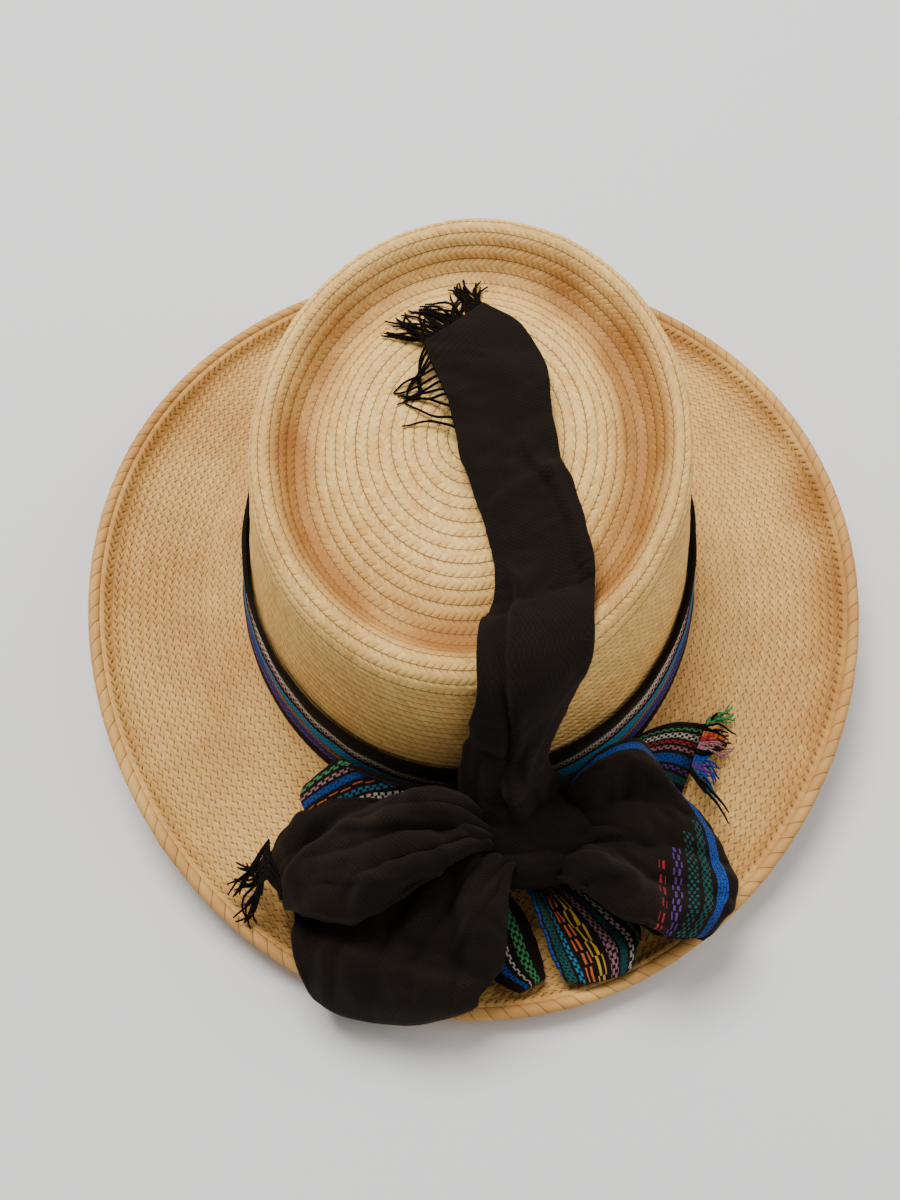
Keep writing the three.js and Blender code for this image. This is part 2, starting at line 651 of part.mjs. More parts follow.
// Adds a piece. It is cut back to the seat gap from every piece placed before it that it meets, and
// later cloth rests on it where rests is true.
function place(name, finish, solid, grown, rests = true) {
  let made = solid;
  for (const other of placed)
    if (made.intersect(other).volume() > 0) made = made.subtract(other);
  const whole = made.decompose().sort((a, b) => b.volume() - a.volume())[0];
  placed.push(grown);
  const mesh = whole.getMesh();
  if (rests) addCover(mesh);
  const flat = new Float32Array(mesh.numVert * 3);
  for (let i = 0; i < mesh.numVert; i++)
    flat.set(mesh.vertProperties.subarray(i * mesh.numProp, i * mesh.numProp + 3), i * 3);
  const geometry = new THREE.BufferGeometry();
  geometry.setAttribute("position", new THREE.BufferAttribute(flat, 3));
  geometry.setIndex(new THREE.BufferAttribute(mesh.triVerts, 1));
  geometry.computeVertexNormals();
  const shown = new THREE.Mesh(geometry, new THREE.MeshStandardMaterial(finish));
  shown.name = name;
  hat.add(shown);
}

function placeWall(name, finish, rows, below, above, shape, rests) {
  const grown = wallSolid(rows, below, above, { ...shape, grow: seatGap });
  place(name, finish, wallSolid(rows, below, above, shape), grown, rests);
}

const placeCloth = (name, finish, grid) =>
  placeWall(name, finish, grid, -clothWall / 2, clothWall / 2, {}, true);

placeWall("crown", straw, crownRows(), -plaitWall, 0, { ring: true, pole: true }, false);
placeWall("brim", straw, brimGrid(), 0, plaitWall, { ring: true }, true);
place(
  "brim_edge",
  straw,
  barSolid(edgeLine(edgeSteps), () => rollDiameter / 2, edgeSides, true),
  barSolid(edgeLine(edgeSteps), () => rollDiameter / 2 + seatGap, edgeSides, true),
);
placeWall("sash_band", striped, bandGrid(), 0, clothWall, { ring: true }, false);
place("sash_knot", cotton, knotSolid(), knotSolid(seatGap), false);

const rightTail = stripGrid(rightTailRows, 7, 4);
placeCloth("right_tail", striped, rightTail);
placeCloth("striped_fold", striped, stripGrid(stripedFoldRows, 8, 4));
placeCloth("green_tip", striped, stripGrid(greenTipRows, 7, 3));
placeCloth("front_flap", striped, stripGrid(frontFlapRows, 7, 5));
placeCloth("left_loop", cotton, stripGrid(leftLoopRows, 18, 6, 3));
placeCloth("right_loop", cotton, stripGrid(rightLoopRows, 18, 6, 3));
const leftTail = stripGrid(leftTailRows, 10, 6, 3);
placeCloth("left_tail", cotton, leftTail);
const crownTail = crownTailGrid(24, 6);
placeCloth("crown_tail", cotton, crownTail);

const headShift = seatGap + threadLock * headShare;
const locks = 7;
const onCrown = (x, y) => crownTopAt(x, y) ?? 0;

function placeFringe(name, finish, grid, outward, length, swing, heightAt) {
  const made = fringeSolid(endLineOf(grid, headShift), outward, length, locks, swing, heightAt);
  place(name, finish, made, made, false);
}

placeFringe("crown_tail_fringe", cotton, crownTail, [-0.5, 1], crownFringe, 24, onCrown);
placeFringe("left_tail_fringe", cotton, leftTail, [-1, -0.5], leftFringe, 20, coverAt);
placeFringe("right_tail_fringe", striped, rightTail, [1, 0.1], rightFringe, 16, coverAt);

export default hat;
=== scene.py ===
import math

import bmesh
import bpy
import numpy as np
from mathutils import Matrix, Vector


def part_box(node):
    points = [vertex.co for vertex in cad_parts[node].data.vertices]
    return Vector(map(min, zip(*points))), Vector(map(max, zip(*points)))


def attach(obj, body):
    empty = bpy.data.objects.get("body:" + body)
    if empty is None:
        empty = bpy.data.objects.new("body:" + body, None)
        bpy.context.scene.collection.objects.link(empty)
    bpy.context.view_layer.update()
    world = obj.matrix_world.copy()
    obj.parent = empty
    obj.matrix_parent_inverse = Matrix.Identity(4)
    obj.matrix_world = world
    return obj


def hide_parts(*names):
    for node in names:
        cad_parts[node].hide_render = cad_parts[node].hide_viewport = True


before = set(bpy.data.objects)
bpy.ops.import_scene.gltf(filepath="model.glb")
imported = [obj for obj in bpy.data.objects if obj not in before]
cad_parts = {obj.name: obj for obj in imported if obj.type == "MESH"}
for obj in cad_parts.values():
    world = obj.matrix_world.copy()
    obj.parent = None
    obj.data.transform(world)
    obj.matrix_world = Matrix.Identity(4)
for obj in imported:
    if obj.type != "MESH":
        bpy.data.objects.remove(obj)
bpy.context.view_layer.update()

mm = 0.001
tau = 2 * math.pi


def table(names, *rows):
    # a table's rows as dictionaries, by the names of its columns
    return [dict(zip(names.split(), row)) for row in rows]


# Node helpers

def put(tree, kind, inputs=None, **settings):
    # one node: settings are its properties, inputs its sockets' values or what feeds them
    node = tree.nodes.new(kind)
    for name, value in settings.items():
        setattr(node, name, value)
    for key, value in (inputs or {}).items():
        if isinstance(value, bpy.types.NodeSocket):
            tree.links.new(value, node.inputs[key])
        else:
            node.inputs[key].default_value = value
    return node


def calc(tree, operation, *values, clamp=False):
    node = put(tree, "ShaderNodeMath", dict(enumerate(values)), operation=operation)
    node.use_clamp = clamp
    return node.outputs[0]


def blendColour(tree, share, first, second):
    node = put(tree, "ShaderNodeMix", {0: share, 6: first, 7: second}, data_type="RGBA")
    return node.outputs[2]


def remap(tree, value, low, high, newLow=0.0, newHigh=1.0):
    inputs = {0: value, 1: low, 2: high, 3: newLow, 4: newHigh}
    node = put(tree, "ShaderNodeMapRange", inputs, interpolation_type="SMOOTHSTEP")
    return node.outputs[0]


def newGroup(name, inputs, outputs):
    group = bpy.data.node_groups.new(name, "ShaderNodeTree")
    for label, value in inputs.items():
        socket = group.interface.new_socket(label, in_out="INPUT", socket_type="NodeSocketFloat")
        socket.default_value = value
    for label in outputs:
        group.interface.new_socket(label, in_out="OUTPUT", socket_type="NodeSocketFloat")
    return group, group.nodes.new("NodeGroupInput").outputs, group.nodes.new("NodeGroupOutput").inputs


def useGroup(tree, group, values):
    return put(tree, "ShaderNodeGroup", values, node_tree=group).outputs


def makePlaitGroup():
    # Rows of chevrons. Steps counts strands along a row and Rows counts rows. A strand leans away
    # from the row's middle by Slant steps. A slit is the dark gap beside it, seen between the
    # shares From and Reach of the way out from the middle, and Line is the seam between two rows.
    group, given, result = newGroup(
        "palmPlait",
        {"Steps": 0, "Rows": 0, "Slant": 0.8, "Slit": 0.12, "From": -1, "Reach": 0.9, "Line": 0.14},
        ["Tone", "Slit", "Seam", "Height"],
    )
    row = calc(group, "FLOOR", given["Rows"])
    across = calc(group, "FRACT", given["Rows"])
    middle = calc(group, "ABSOLUTE", calc(group, "MULTIPLY_ADD", across, 2.0, -1.0))
    half = calc(group, "GREATER_THAN", across, 0.5)
    place = calc(group, "MULTIPLY_ADD", middle, given["Slant"], given["Steps"])
    place = calc(group, "MULTIPLY_ADD", half, 0.5, place)
    strand = calc(group, "FLOOR", place)
    inStrand = calc(group, "FRACT", place)
    key = put(group, "ShaderNodeCombineXYZ", {0: strand, 1: row, 2: half}).outputs[0]
    noise = put(group, "ShaderNodeTexWhiteNoise", {"Vector": key}, noise_dimensions="3D")
    edge = calc(group, "MINIMUM", inStrand, calc(group, "SUBTRACT", 1.0, inStrand))
    slit = remap(group, edge, 0.0, given["Slit"], 1.0, 0.0)
    inside = remap(group, middle, calc(group, "SUBTRACT", given["Reach"], 0.15), given["Reach"], 1.0, 0.0)
    beyond = remap(group, middle, given["From"], calc(group, "ADD", given["From"], 0.2))
    slit = calc(group, "MULTIPLY", slit, calc(group, "MULTIPLY", inside, beyond))
    seam = remap(group, middle, calc(group, "SUBTRACT", 1.0, given["Line"]), 1.0)
    swell = calc(group, "POWER", calc(group, "SINE", calc(group, "MULTIPLY", inStrand, math.pi)), 0.6)
    group.links.new(noise.outputs[0], result["Tone"])
    group.links.new(slit, result["Slit"])
    group.links.new(seam, result["Seam"])
    group.links.new(swell, result["Height"])
    return group


def makeStripeGroup():
    # A stripe of a woven cloth, in millimetres across and along it: columns of short dashes, each
    # column half a dash further on than the one beside it.
    group, given, result = newGroup(
        "wovenStripe",
        {"Across": 0, "Along": 0, "Centre": 0, "Width": 3, "Column": 0.9, "Dash": 2.6, "Filled": 0.6},
        ["Mask"],
    )
    off = calc(group, "SUBTRACT", given["Across"], given["Centre"])
    column = calc(group, "DIVIDE", off, given["Column"])
    odd = calc(group, "FRACT", calc(group, "MULTIPLY", calc(group, "FLOOR", column), 0.5))
    thread = calc(group, "ABSOLUTE", calc(group, "SUBTRACT", calc(group, "FRACT", column), 0.5))
    inColumn = remap(group, thread, 0.36, 0.48, 1.0, 0.0)
    dashes = calc(group, "DIVIDE", given["Along"], given["Dash"])
    along = calc(group, "FRACT", calc(group, "ADD", dashes, odd))
    inDash = calc(group, "LESS_THAN", along, given["Filled"])
    halfWidth = calc(group, "MULTIPLY", given["Width"], 0.5)
    within = calc(group, "LESS_THAN", calc(group, "ABSOLUTE", off), halfWidth)
    mask = calc(group, "MULTIPLY", calc(group, "MULTIPLY", inColumn, inDash), within)
    group.links.new(mask, result["Mask"])
    return group


def makeWeaveGroup():
    # Plain weave: threads over and under each other, Pitch millimetres apart.
    group, given, result = newGroup(
        "plainWeave", {"Across": 0, "Along": 0, "Pitch": 0.7}, ["Height"]
    )
    turns = []
    for label in ("Across", "Along"):
        share = calc(group, "DIVIDE", given[label], given["Pitch"])
        turns.append(calc(group, "SINE", calc(group, "MULTIPLY", share, math.pi)))
    woven = calc(group, "MULTIPLY", turns[0], turns[1])
    group.links.new(calc(group, "MULTIPLY_ADD", woven, 0.5, 0.5), result["Height"])
    return group


palmPlait = makePlaitGroup()
wovenStripe = makeStripeGroup()
plainWeave = makeWeaveGroup()


# Materials

def startMaterial(name, roughness, **constants):
    material = bpy.data.materials.new(name)
    material.use_nodes = True
    shader = material.node_tree.nodes["Principled BSDF"]
    shader.inputs["Roughness"].default_value = roughness
    for key, value in constants.items():
        shader.inputs[key.replace("_", " ")].default_value = value
    return material, material.node_tree, shader


def uvAxes(tree):
    uv = put(tree, "ShaderNodeUVMap", uv_map="surface").outputs[0]
    parts = put(tree, "ShaderNodeSeparateXYZ", {0: uv})
    return parts.outputs[0], parts.outputs[1]


def addBump(tree, shader, height, strength, distance):
    inputs = {"Height": height, "Strength": strength, "Distance": distance}
    bump = put(tree, "ShaderNodeBump", inputs)
    tree.links.new(bump.outputs[0], shader.inputs["Normal"])


strawColours = {
    # this colour serves real stains and painted shade alike
    "stainAndShade": (0.38, 0.16, 0.038, 1),
    "soil": (0.30, 0.18, 0.10, 1),
    "slit": (0.15, 0.065, 0.022, 1),
}
crownLook = {
    "pale": (0.98, 0.66, 0.21, 1), "deep": (0.68, 0.37, 0.10, 1),
    "plait": {"Slant": 0.85, "Slit": 0.13, "From": 0.45, "Reach": 2.0, "Line": 0.17},
    "slitDepth": 0.6, "seamDepth": 0.9, "shade": 0.3, "tone": 0.6, "bump": 0.45,
}
brimLook = {
    "pale": (0.86, 0.52, 0.16, 1), "deep": (0.58, 0.29, 0.08, 1),
    "plait": {"Slant": 0.6, "Slit": 0.26, "From": -1.0, "Reach": 0.6, "Line": 0.2},
    "slitDepth": 0.7, "seamDepth": 0.22, "shade": 0.55, "tone": 0.35, "bump": 0.6,
}
edgeLook = {
    "pale": (0.78, 0.46, 0.14, 1), "deep": (0.52, 0.25, 0.07, 1),
    "plait": {"Slant": 0.0, "Slit": 0.07, "From": -1.0, "Reach": 3.0, "Line": 0.01},
    "slitDepth": 0.55, "seamDepth": 0.0, "shade": 0.6, "tone": 0.3, "bump": 0.5,
}


def makeStraw(name, look):
    # Palm strands: each has a tone of its own, with real stains and painted shade carried by one point
    # attribute, broad uneven ageing, small specks, dark slits and seams.
    material, tree, shader = startMaterial(name, 0.62, Specular_IOR_Level=0.14)
    steps, rows = uvAxes(tree)
    plait = useGroup(tree, palmPlait, {"Steps": steps, "Rows": rows, **look["plait"]})
    place = put(tree, "ShaderNodeTexCoord").outputs["Object"]
    age = put(tree, "ShaderNodeTexNoise", {"Vector": place, "Scale": 22.0, "Detail": 5.0, "Roughness": 0.62})
    fine = put(tree, "ShaderNodeTexNoise", {"Vector": place, "Scale": 420.0, "Detail": 3.0})
    specks = put(tree, "ShaderNodeTexVoronoi", {"Vector": place, "Scale": 75.0, "Randomness": 1.0})
    stainAndShade = put(tree, "ShaderNodeAttribute", attribute_name="stainAndShade").outputs["Fac"]
    tone = calc(tree, "MULTIPLY", plait["Tone"], look["tone"])
    tone = calc(tree, "MULTIPLY_ADD", remap(tree, age.outputs[0], 0.35, 0.7), look["shade"], tone)
    tone = calc(tree, "MULTIPLY_ADD", fine.outputs[0], 0.2, tone)
    tone = calc(tree, "MULTIPLY", tone, 1.0, clamp=True)
    colour = blendColour(tree, tone, look["pale"], look["deep"])
    # real stains and painted shade from the attribute, patchy with the ageing noise
    patchy = calc(tree, "MULTIPLY", stainAndShade, remap(tree, age.outputs[0], 0.3, 0.6, 0.8, 1.0))
    colour = blendColour(tree, patchy, colour, strawColours["stainAndShade"])
    speck = remap(tree, specks.outputs["Distance"], 0.03, 0.055, 0.5, 0.0)
    colour = blendColour(tree, speck, colour, strawColours["soil"])
    seam = calc(tree, "MULTIPLY", plait["Seam"], look["seamDepth"])
    colour = blendColour(tree, seam, colour, strawColours["slit"])
    slit = calc(tree, "MULTIPLY", plait["Slit"], look["slitDepth"])
    colour = blendColour(tree, slit, colour, strawColours["slit"])
    tree.links.new(colour, shader.inputs["Base Color"])
    rough = remap(tree, fine.outputs[0], 0.3, 0.7, 0.5, 0.72)
    tree.links.new(rough, shader.inputs["Roughness"])
    height = calc(tree, "MULTIPLY_ADD", fine.outputs[0], 0.25, plait["Height"])
    addBump(tree, shader, calc(tree, "SUBTRACT", height, plait["Slit"]), look["bump"], 0.0004)
    return material


threadColours = {
    "black": (0.0058, 0.0038, 0.0026, 1),
    "green": (0.05, 0.27, 0.09, 1),
    "blue": (0.01, 0.065, 0.3, 1),
    "sky": (0.02, 0.17, 0.3, 1),
    "teal": (0.006, 0.085, 0.08, 1),
    "orange": (0.58, 0.12, 0.03, 1),
    "white": (0.52, 0.46, 0.38, 1),
    "pink": (0.33, 0.15, 0.18, 1),
    "yellow": (0.52, 0.31, 0.03, 1),
    "red": (0.38, 0.02, 0.03, 1),
    "purple": (0.09, 0.035, 0.2, 1),
}


def makeCotton(name, stripes=(), lint=0.16, paintedBrightness=1.0):
    # Black cotton in plain weave. stripes is a table of the coloured stripes woven into it, in
    # millimetres across the cloth from its middle. A stripe with a place in "below" crosses the
    # cloth instead, at a length along it, on the side below that place. The brightness factor
    # multiplies the stripes' colours: above 1 it is painted light on stripes that lie in shade.
    # lint is the share of dust on the raised threads.
    material, tree, shader = startMaterial(
        name, 0.95, Specular_IOR_Level=0.08, Sheen_Weight=0.03, Sheen_Roughness=0.6,
        Sheen_Tint=(1, 0.78, 0.6, 1),
    )
    across, along = uvAxes(tree)
    weave = useGroup(tree, plainWeave, {"Across": across, "Along": along, "Pitch": 0.75})["Height"]
    place = put(tree, "ShaderNodeTexCoord").outputs["Object"]
    cloud = put(tree, "ShaderNodeTexNoise", {"Vector": place, "Scale": 60.0, "Detail": 4.0}).outputs[0]
    fluff = put(tree, "ShaderNodeTexNoise", {"Vector": place, "Scale": 900.0, "Detail": 2.0}).outputs[0]
    worn = calc(tree, "MULTIPLY", calc(tree, "MULTIPLY", weave, fluff), lint)
    worn = calc(tree, "MULTIPLY", worn, remap(tree, cloud, 0.3, 0.75, 0.35, 1.0))
    colour = blendColour(tree, worn, threadColours["black"], (0.075, 0.047, 0.03, 1))
    height = weave
    for stripe in stripes:
        below = stripe.get("below")
        turned = below is not None
        mask = useGroup(
            tree,
            wovenStripe,
            {
                "Across": along if turned else across,
                "Along": across if turned else along,
                "Centre": stripe["at"],
                "Width": stripe["wide"],
                "Column": stripe["column"],
                "Dash": stripe["dash"],
                "Filled": stripe["filled"],
            },
        )["Mask"]
        if turned:
            mask = calc(tree, "MULTIPLY", mask, calc(tree, "LESS_THAN", across, below))
        # painted light where the brightness factor is above 1
        dyed = (*(paintedBrightness * part for part in threadColours[stripe["colour"]][:3]), 1)
        thread = blendColour(tree, calc(tree, "MULTIPLY", fluff, 0.5), dyed, threadColours["black"])
        colour = blendColour(tree, mask, colour, thread)
        height = calc(tree, "MULTIPLY_ADD", mask, 0.5, height)
    tree.links.new(colour, shader.inputs["Base Color"])
    addBump(tree, shader, height, 0.3, 0.0004)
    return material


def makeThread(name, colours, pitch=1.6):
    # Twisted yarn: a slanting lay along the thread, and a colour for each share of the fringe, with painted
    # shade darkening the lay's hollows towards black.
    material, tree, shader = startMaterial(name, 0.95, Specular_IOR_Level=0.06)
    across, along = uvAxes(tree)
    turn = put(tree, "ShaderNodeAttribute", attribute_name="turn").outputs["Fac"]
    turns = calc(tree, "ADD", calc(tree, "DIVIDE", along, pitch), turn)
    lay = calc(tree, "SINE", calc(tree, "MULTIPLY", turns, tau))
    ramp = put(tree, "ShaderNodeValToRGB", {0: across})
    ramp.color_ramp.interpolation = "CONSTANT"
    stops = ramp.color_ramp.elements
    while len(stops) < len(colours):
        stops.new(0.5)
    for k, colour in enumerate(colours):
        stops[k].position = k / len(colours)
        stops[k].color = threadColours[colour]
    # painted shade: the hollows of the twist darken towards black
    grooveShade = remap(tree, lay, -1.0, 0.4, 0.45, 0.0)
    shaded = blendColour(tree, grooveShade, ramp.outputs[0], threadColours["black"])
    tree.links.new(shaded, shader.inputs["Base Color"])
    addBump(tree, shader, lay, 0.6, 0.0003)
    return material


# Woven stripes of each striped piece: place and width in millimetres across it, distance between
# its columns of dashes, length of a dash with its gap, and the dash's share of that
stripeNames = "colour at wide column dash filled"
bandStripes = table(
    stripeNames,
    ("green", 11.0, 1.1, 0.9, 3.4, 0.6),
    ("white", 7.6, 3.6, 1.1, 2.6, 0.7),
    ("pink", 4.8, 1.2, 0.9, 2.6, 0.62),
    ("sky", -0.4, 6.4, 1.0, 2.0, 0.85),
    ("yellow", -5.4, 1.0, 0.9, 2.6, 0.6),
    ("orange", -8.2, 2.6, 0.9, 2.6, 0.75),
    ("blue", -11.0, 1.6, 0.9, 2.6, 0.9),
    ("purple", -13.2, 1.6, 0.9, 2.6, 0.8),
)
foldStripes = table(
    stripeNames,
    ("green", 8.6, 2.2, 1.1, 3.0, 0.62),
    ("pink", 5.4, 1.8, 0.9, 2.6, 0.62),
    ("blue", 2.4, 2.4, 0.9, 2.6, 0.85),
    ("orange", -0.4, 1.0, 0.9, 9.0, 0.4),
    ("sky", -2.6, 1.8, 0.9, 2.6, 0.62),
    ("white", -5.4, 2.2, 1.1, 2.6, 0.62),
    ("teal", -8.4, 2.6, 0.9, 2.6, 0.9),
)
flapStripes = table(
    stripeNames,
    ("blue", -17.0, 2.6, 0.9, 2.6, 0.85),
    ("teal", -13.4, 3.0, 0.9, 2.6, 0.8),
    ("sky", -10.0, 2.0, 0.9, 2.6, 0.62),
    ("orange", -6.4, 3.0, 0.9, 11.0, 0.4),
    ("yellow", -2.4, 3.4, 1.1, 12.0, 0.5),
    ("pink", 2.6, 3.0, 1.1, 2.6, 0.62),
    ("teal", 6.2, 2.6, 0.9, 2.6, 0.9),
    ("white", 9.6, 2.6, 1.2, 2.6, 0.62),
    ("green", 13.6, 1.2, 0.9, 2.6, 0.62),
    ("blue", 17.0, 2.0, 0.9, 2.6, 0.8),
)
tipStripes = table(
    stripeNames,
    ("blue", -4.6, 2.4, 0.9, 2.6, 0.8),
    ("white", -1.2, 1.2, 0.9, 2.6, 0.62),
    ("green", 3.4, 3.6, 1.2, 3.0, 0.62),
)
loopStripes = table(
    stripeNames + " below",
    ("blue", 28.0, 2.6, 0.9, 2.6, 0.9, None),
    ("blue", 65.5, 3.2, 0.9, 2.6, 0.9, 27),
    ("teal", 61.0, 2.8, 0.9, 2.6, 0.55, 12),
    ("teal", 56.5, 3.6, 0.9, 2.6, 0.35, 6),
    ("purple", 51.5, 3.0, 0.9, 5.0, 0.4, 0),
    ("red", 46.5, 2.6, 0.9, 9.0, 0.3, -6),
)
tailStripes = table(
    stripeNames,
    ("green", 11.4, 1.4, 0.9, 2.6, 0.62),
    ("white", 8.0, 2.8, 1.1, 2.6, 0.62),
    ("red", 4.8, 1.6, 0.9, 2.6, 0.62),
    ("pink", 2.0, 2.0, 0.9, 2.6, 0.62),
    ("blue", -2.4, 4.0, 0.9, 2.6, 0.85),
    ("purple", -6.2, 1.8, 0.9, 2.6, 0.62),
    ("teal", -9.4, 2.6, 0.9, 2.6, 0.9),
)

crownStraw = makeStraw("crownStraw", crownLook)
brimStraw = makeStraw("brimStraw", brimLook)
edgeStraw = makeStraw("edgeStraw", edgeLook)
blackCotton = makeCotton("blackCotton")
# painted light: the band's stripes brightened because the band lies in shade
bandCotton = makeCotton("bandCotton", bandStripes, paintedBrightness=1.75)
foldCotton = makeCotton("foldCotton", foldStripes)
flapCotton = makeCotton("flapCotton", flapStripes)
tipCotton = makeCotton("tipCotton", tipStripes)
loopCotton = makeCotton("loopCotton", loopStripes)
tailCotton = makeCotton("tailCotton", tailStripes)
blackThread = makeThread("blackThread", ["black"])
mixedThread = makeThread(
    "mixedThread",
    ["black", "teal", "blue", "purple", "blue", "black", "pink", "red", "orange", "black", "green"],
)
print("materials made")


# Mesh helpers

def gridQuads(rows, columns, ring=False, start=0):
    # corner numbers of the faces between a grid's points, row after row
    i, j = np.meshgrid(np.arange(rows - 1), np.arange(columns if ring else columns - 1), indexing="ij")
    k = (j + 1) % columns
    corners = [i * columns + j, (i + 1) * columns + j, (i + 1) * columns + k, i * columns + k]
    return start + np.stack(corners, -1).reshape(-1, 4)


def roundCorners(count):
    # column numbers at the four corners of each face of a ring, the last running on past the first
    column = np.arange(count)
    return np.stack([column, column, column + 1, column + 1], -1)


def downCorners(rows):
    # row numbers at the four corners of the faces below each row
    return np.stack([rows, rows + 1, rows + 1, rows], -1)


def addObject(name, data):
    made = bpy.data.objects.new(name, data)
    bpy.context.scene.collection.objects.link(made)
    return made


def meshPiece(name, points, faces, uv, attributes=None):
    # points in metres, faces as a list of corner numbers, uv one pair for each corner of each face
    mesh = bpy.data.meshes.new(name)
    mesh.from_pydata(points.reshape(-1, 3), [], faces)
    layer = mesh.uv_layers.new(name="surface")
    layer.data.foreach_set("uv", uv.astype(np.float32).reshape(-1))
    for label, values in (attributes or {}).items():
        held = mesh.attributes.new(label, "FLOAT", "POINT")
        held.data.foreach_set("value", values.astype(np.float32).reshape(-1))
    work = bmesh.new()
    work.from_mesh(mesh)
    bmesh.ops.remove_doubles(work, verts=work.verts, dist=2e-6)
    work.to_mesh(mesh)
    work.free()
    mesh.polygons.foreach_set("use_smooth", np.ones(len(mesh.polygons), bool))
    return addObject(name, mesh)


def dress(piece, node, material):
    piece.data.materials.append(material)
    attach(piece, "root")
    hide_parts(node)
    return piece


def normalsOf(points, ring):
    # normals of a grid of points, from the steps along its rows and columns
    down = np.gradient(points, axis=0)
    if ring:
        along = (np.roll(points, -1, axis=1) - np.roll(points, 1, axis=1)) / 2
    else:
        along = np.gradient(points, axis=1)
    normal = np.cross(down, along)
    return normal / np.maximum(np.linalg.norm(normal, axis=-1, keepdims=True), 1e-12)


def curveThrough(rows, places):
    # a table's named columns at places from 0 to 1, on smooth curves through its rows
    names = list(rows[0])
    given = np.array([[row[name] for name in names] for row in rows], float)
    at = np.clip(places, 0, 1) * (len(rows) - 1)
    first = np.minimum(at.astype(int), len(rows) - 2)
    t = (at - first)[:, None]
    a, b, c, d = (given[np.clip(first + k, 0, len(rows) - 1)] for k in (-1, 0, 1, 2))
    made = b + 0.5 * t * (c - a + t * (2 * a - 5 * b + 4 * c - d + t * (3 * (b - c) + d - a)))
    return {name: made[:, k] for k, name in enumerate(names)}


def ripple(x, y, size, seed):
    # smooth unevenness from -1 to 1: waves of about one size crossing in several directions
    draw = np.random.default_rng(seed)
    total = 0
    for _ in range(6):
        angle, phase, bend = draw.uniform(0, tau, 3)
        long = size * draw.uniform(0.7, 1.5)
        run = x * math.cos(angle) + y * math.sin(angle)
        side = y * math.cos(angle) - x * math.sin(angle)
        total = total + np.sin(tau * run / long + phase + 0.9 * np.sin(tau * side / (1.7 * long) + bend))
    return total / 6


def smoothStep(value):
    t = np.clip(value, 0, 1)
    return t * t * (3 - 2 * t)


# Sizes from the frame, in millimetres

def boxOf(node):
    low, high = (np.array(corner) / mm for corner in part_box(node))
    return {"low": low, "high": high, "middle": (low + high) / 2, "half": (high - low) / 2}


crownBox = boxOf("crown")
edgeBox = boxOf("brim_edge")
bandTop = boxOf("sash_band")["high"][2]

hat = {
    "lipWidth": 0.861,     # the lip's half sizes as shares of the foot's
    "lipLength": 0.911,
    "lipAhead": 1,         # mm that the top sits towards the bow
    "lipTilt": 6,          # far side of the top higher by
    "lipTurn": -5,         # degrees
    "crease": 12,          # depth of the sunken top's groove
    "wall": 2,
    "footRise": 7,         # brim's underside above the floor at the crown
    "sideLift": 18,        # the brim's sides above its front and back
    "edgeRise": 8,         # turned-up edge
    "roll": 4.4,           # diameter of the rolled edge
    "gap": 0.3,
    "crest": 0.94,         # reach of the lip's highest ring
}
crownCentre = crownBox["middle"][:2]
footHalf = crownBox["half"][:2]
lipHalf = footHalf * [hat["lipWidth"], hat["lipLength"]]
crestHeight = crownBox["high"][2] - hat["crest"] * hat["lipTilt"]

topProfile = table(
    "reach drop",
    (0.004, 0.62),
    (0.12, 0.55),
    (0.26, 0.48),
    (0.5, 0.5),
    (0.6, 0.6),
    (0.68, 0.84),
    (0.75, 1.0),
    (0.81, 0.86),
    (0.86, 0.36),
    (0.9, 0.05),
    (0.94, 0.0),
    (0.98, 0.18),
    (1.0, 0.6),
)
wallProfile = table(
    "down flare",
    (0.24, 0.2),
    (0.52, 0.5),
    (0.78, 0.78),
    (1.0, 1.0),
)
lipEnd = crestHeight - topProfile[-1]["drop"] * hat["crease"]


def crownColumns():
    # the crown's profile as columns: half sizes, centre, turn, height and share of the tilt
    made = []
    for row in topProfile:
        half = lipHalf * row["reach"]
        height = crestHeight - row["drop"] * hat["crease"]
        made.append([*half, crownCentre[1] - hat["lipAhead"], hat["lipTurn"], height, row["reach"]])
    for row in wallProfile:
        half = lipHalf + (footHalf - lipHalf) * row["flare"]
        ahead = crownCentre[1] - hat["lipAhead"] * (1 - row["flare"])
        height = lipEnd + (hat["footRise"] - lipEnd) * row["down"]
        made.append([*half, ahead, hat["lipTurn"] * (1 - row["flare"]), height, 1 - row["down"]])
    return np.array(made)


def ovalRings(columns, angles):
    # a ring of points for each row of the profile's columns
    halfX, halfY, centreY, turn, height, tilt = (columns[:, k, None] for k in range(6))
    x, y = halfX * np.cos(angles), halfY * np.sin(angles)
    c, s = np.cos(np.radians(turn)), np.sin(np.radians(turn))
    z = height + hat["lipTilt"] * tilt * np.sin(angles)
    return np.stack([crownCentre[0] + c * x - s * y, centreY + s * x + c * y, z], -1)


profile = crownColumns()


def alongProfile(lengths):
    # the profile's columns at distances from its middle, on smooth curves
    radius = profile[:, :2].mean(axis=1)
    steps = np.hypot(np.diff(radius), np.diff(profile[:, 4]))
    at = np.concatenate([[0], np.cumsum(steps)])
    rows = [dict(enumerate(row)) for row in profile]
    places = np.interp(lengths, at, np.linspace(0, 1, len(at)))
    made = curveThrough(rows, places)
    return np.stack([made[k] for k in range(6)], -1)


profileLength = np.hypot(
    np.diff(profile[:, :2].mean(axis=1)), np.diff(profile[:, 4])
).sum()


rowEnd = 1e-4        # keeps a row's last corner out of the next row
liningStain = 0.15


def perimeters(rings, middles):
    # lengths of the rings at the middles of the rows of plait, in plan
    return np.linalg.norm(np.diff(rings[:, :, :2], axis=1), axis=-1).sum(axis=1)[middles]


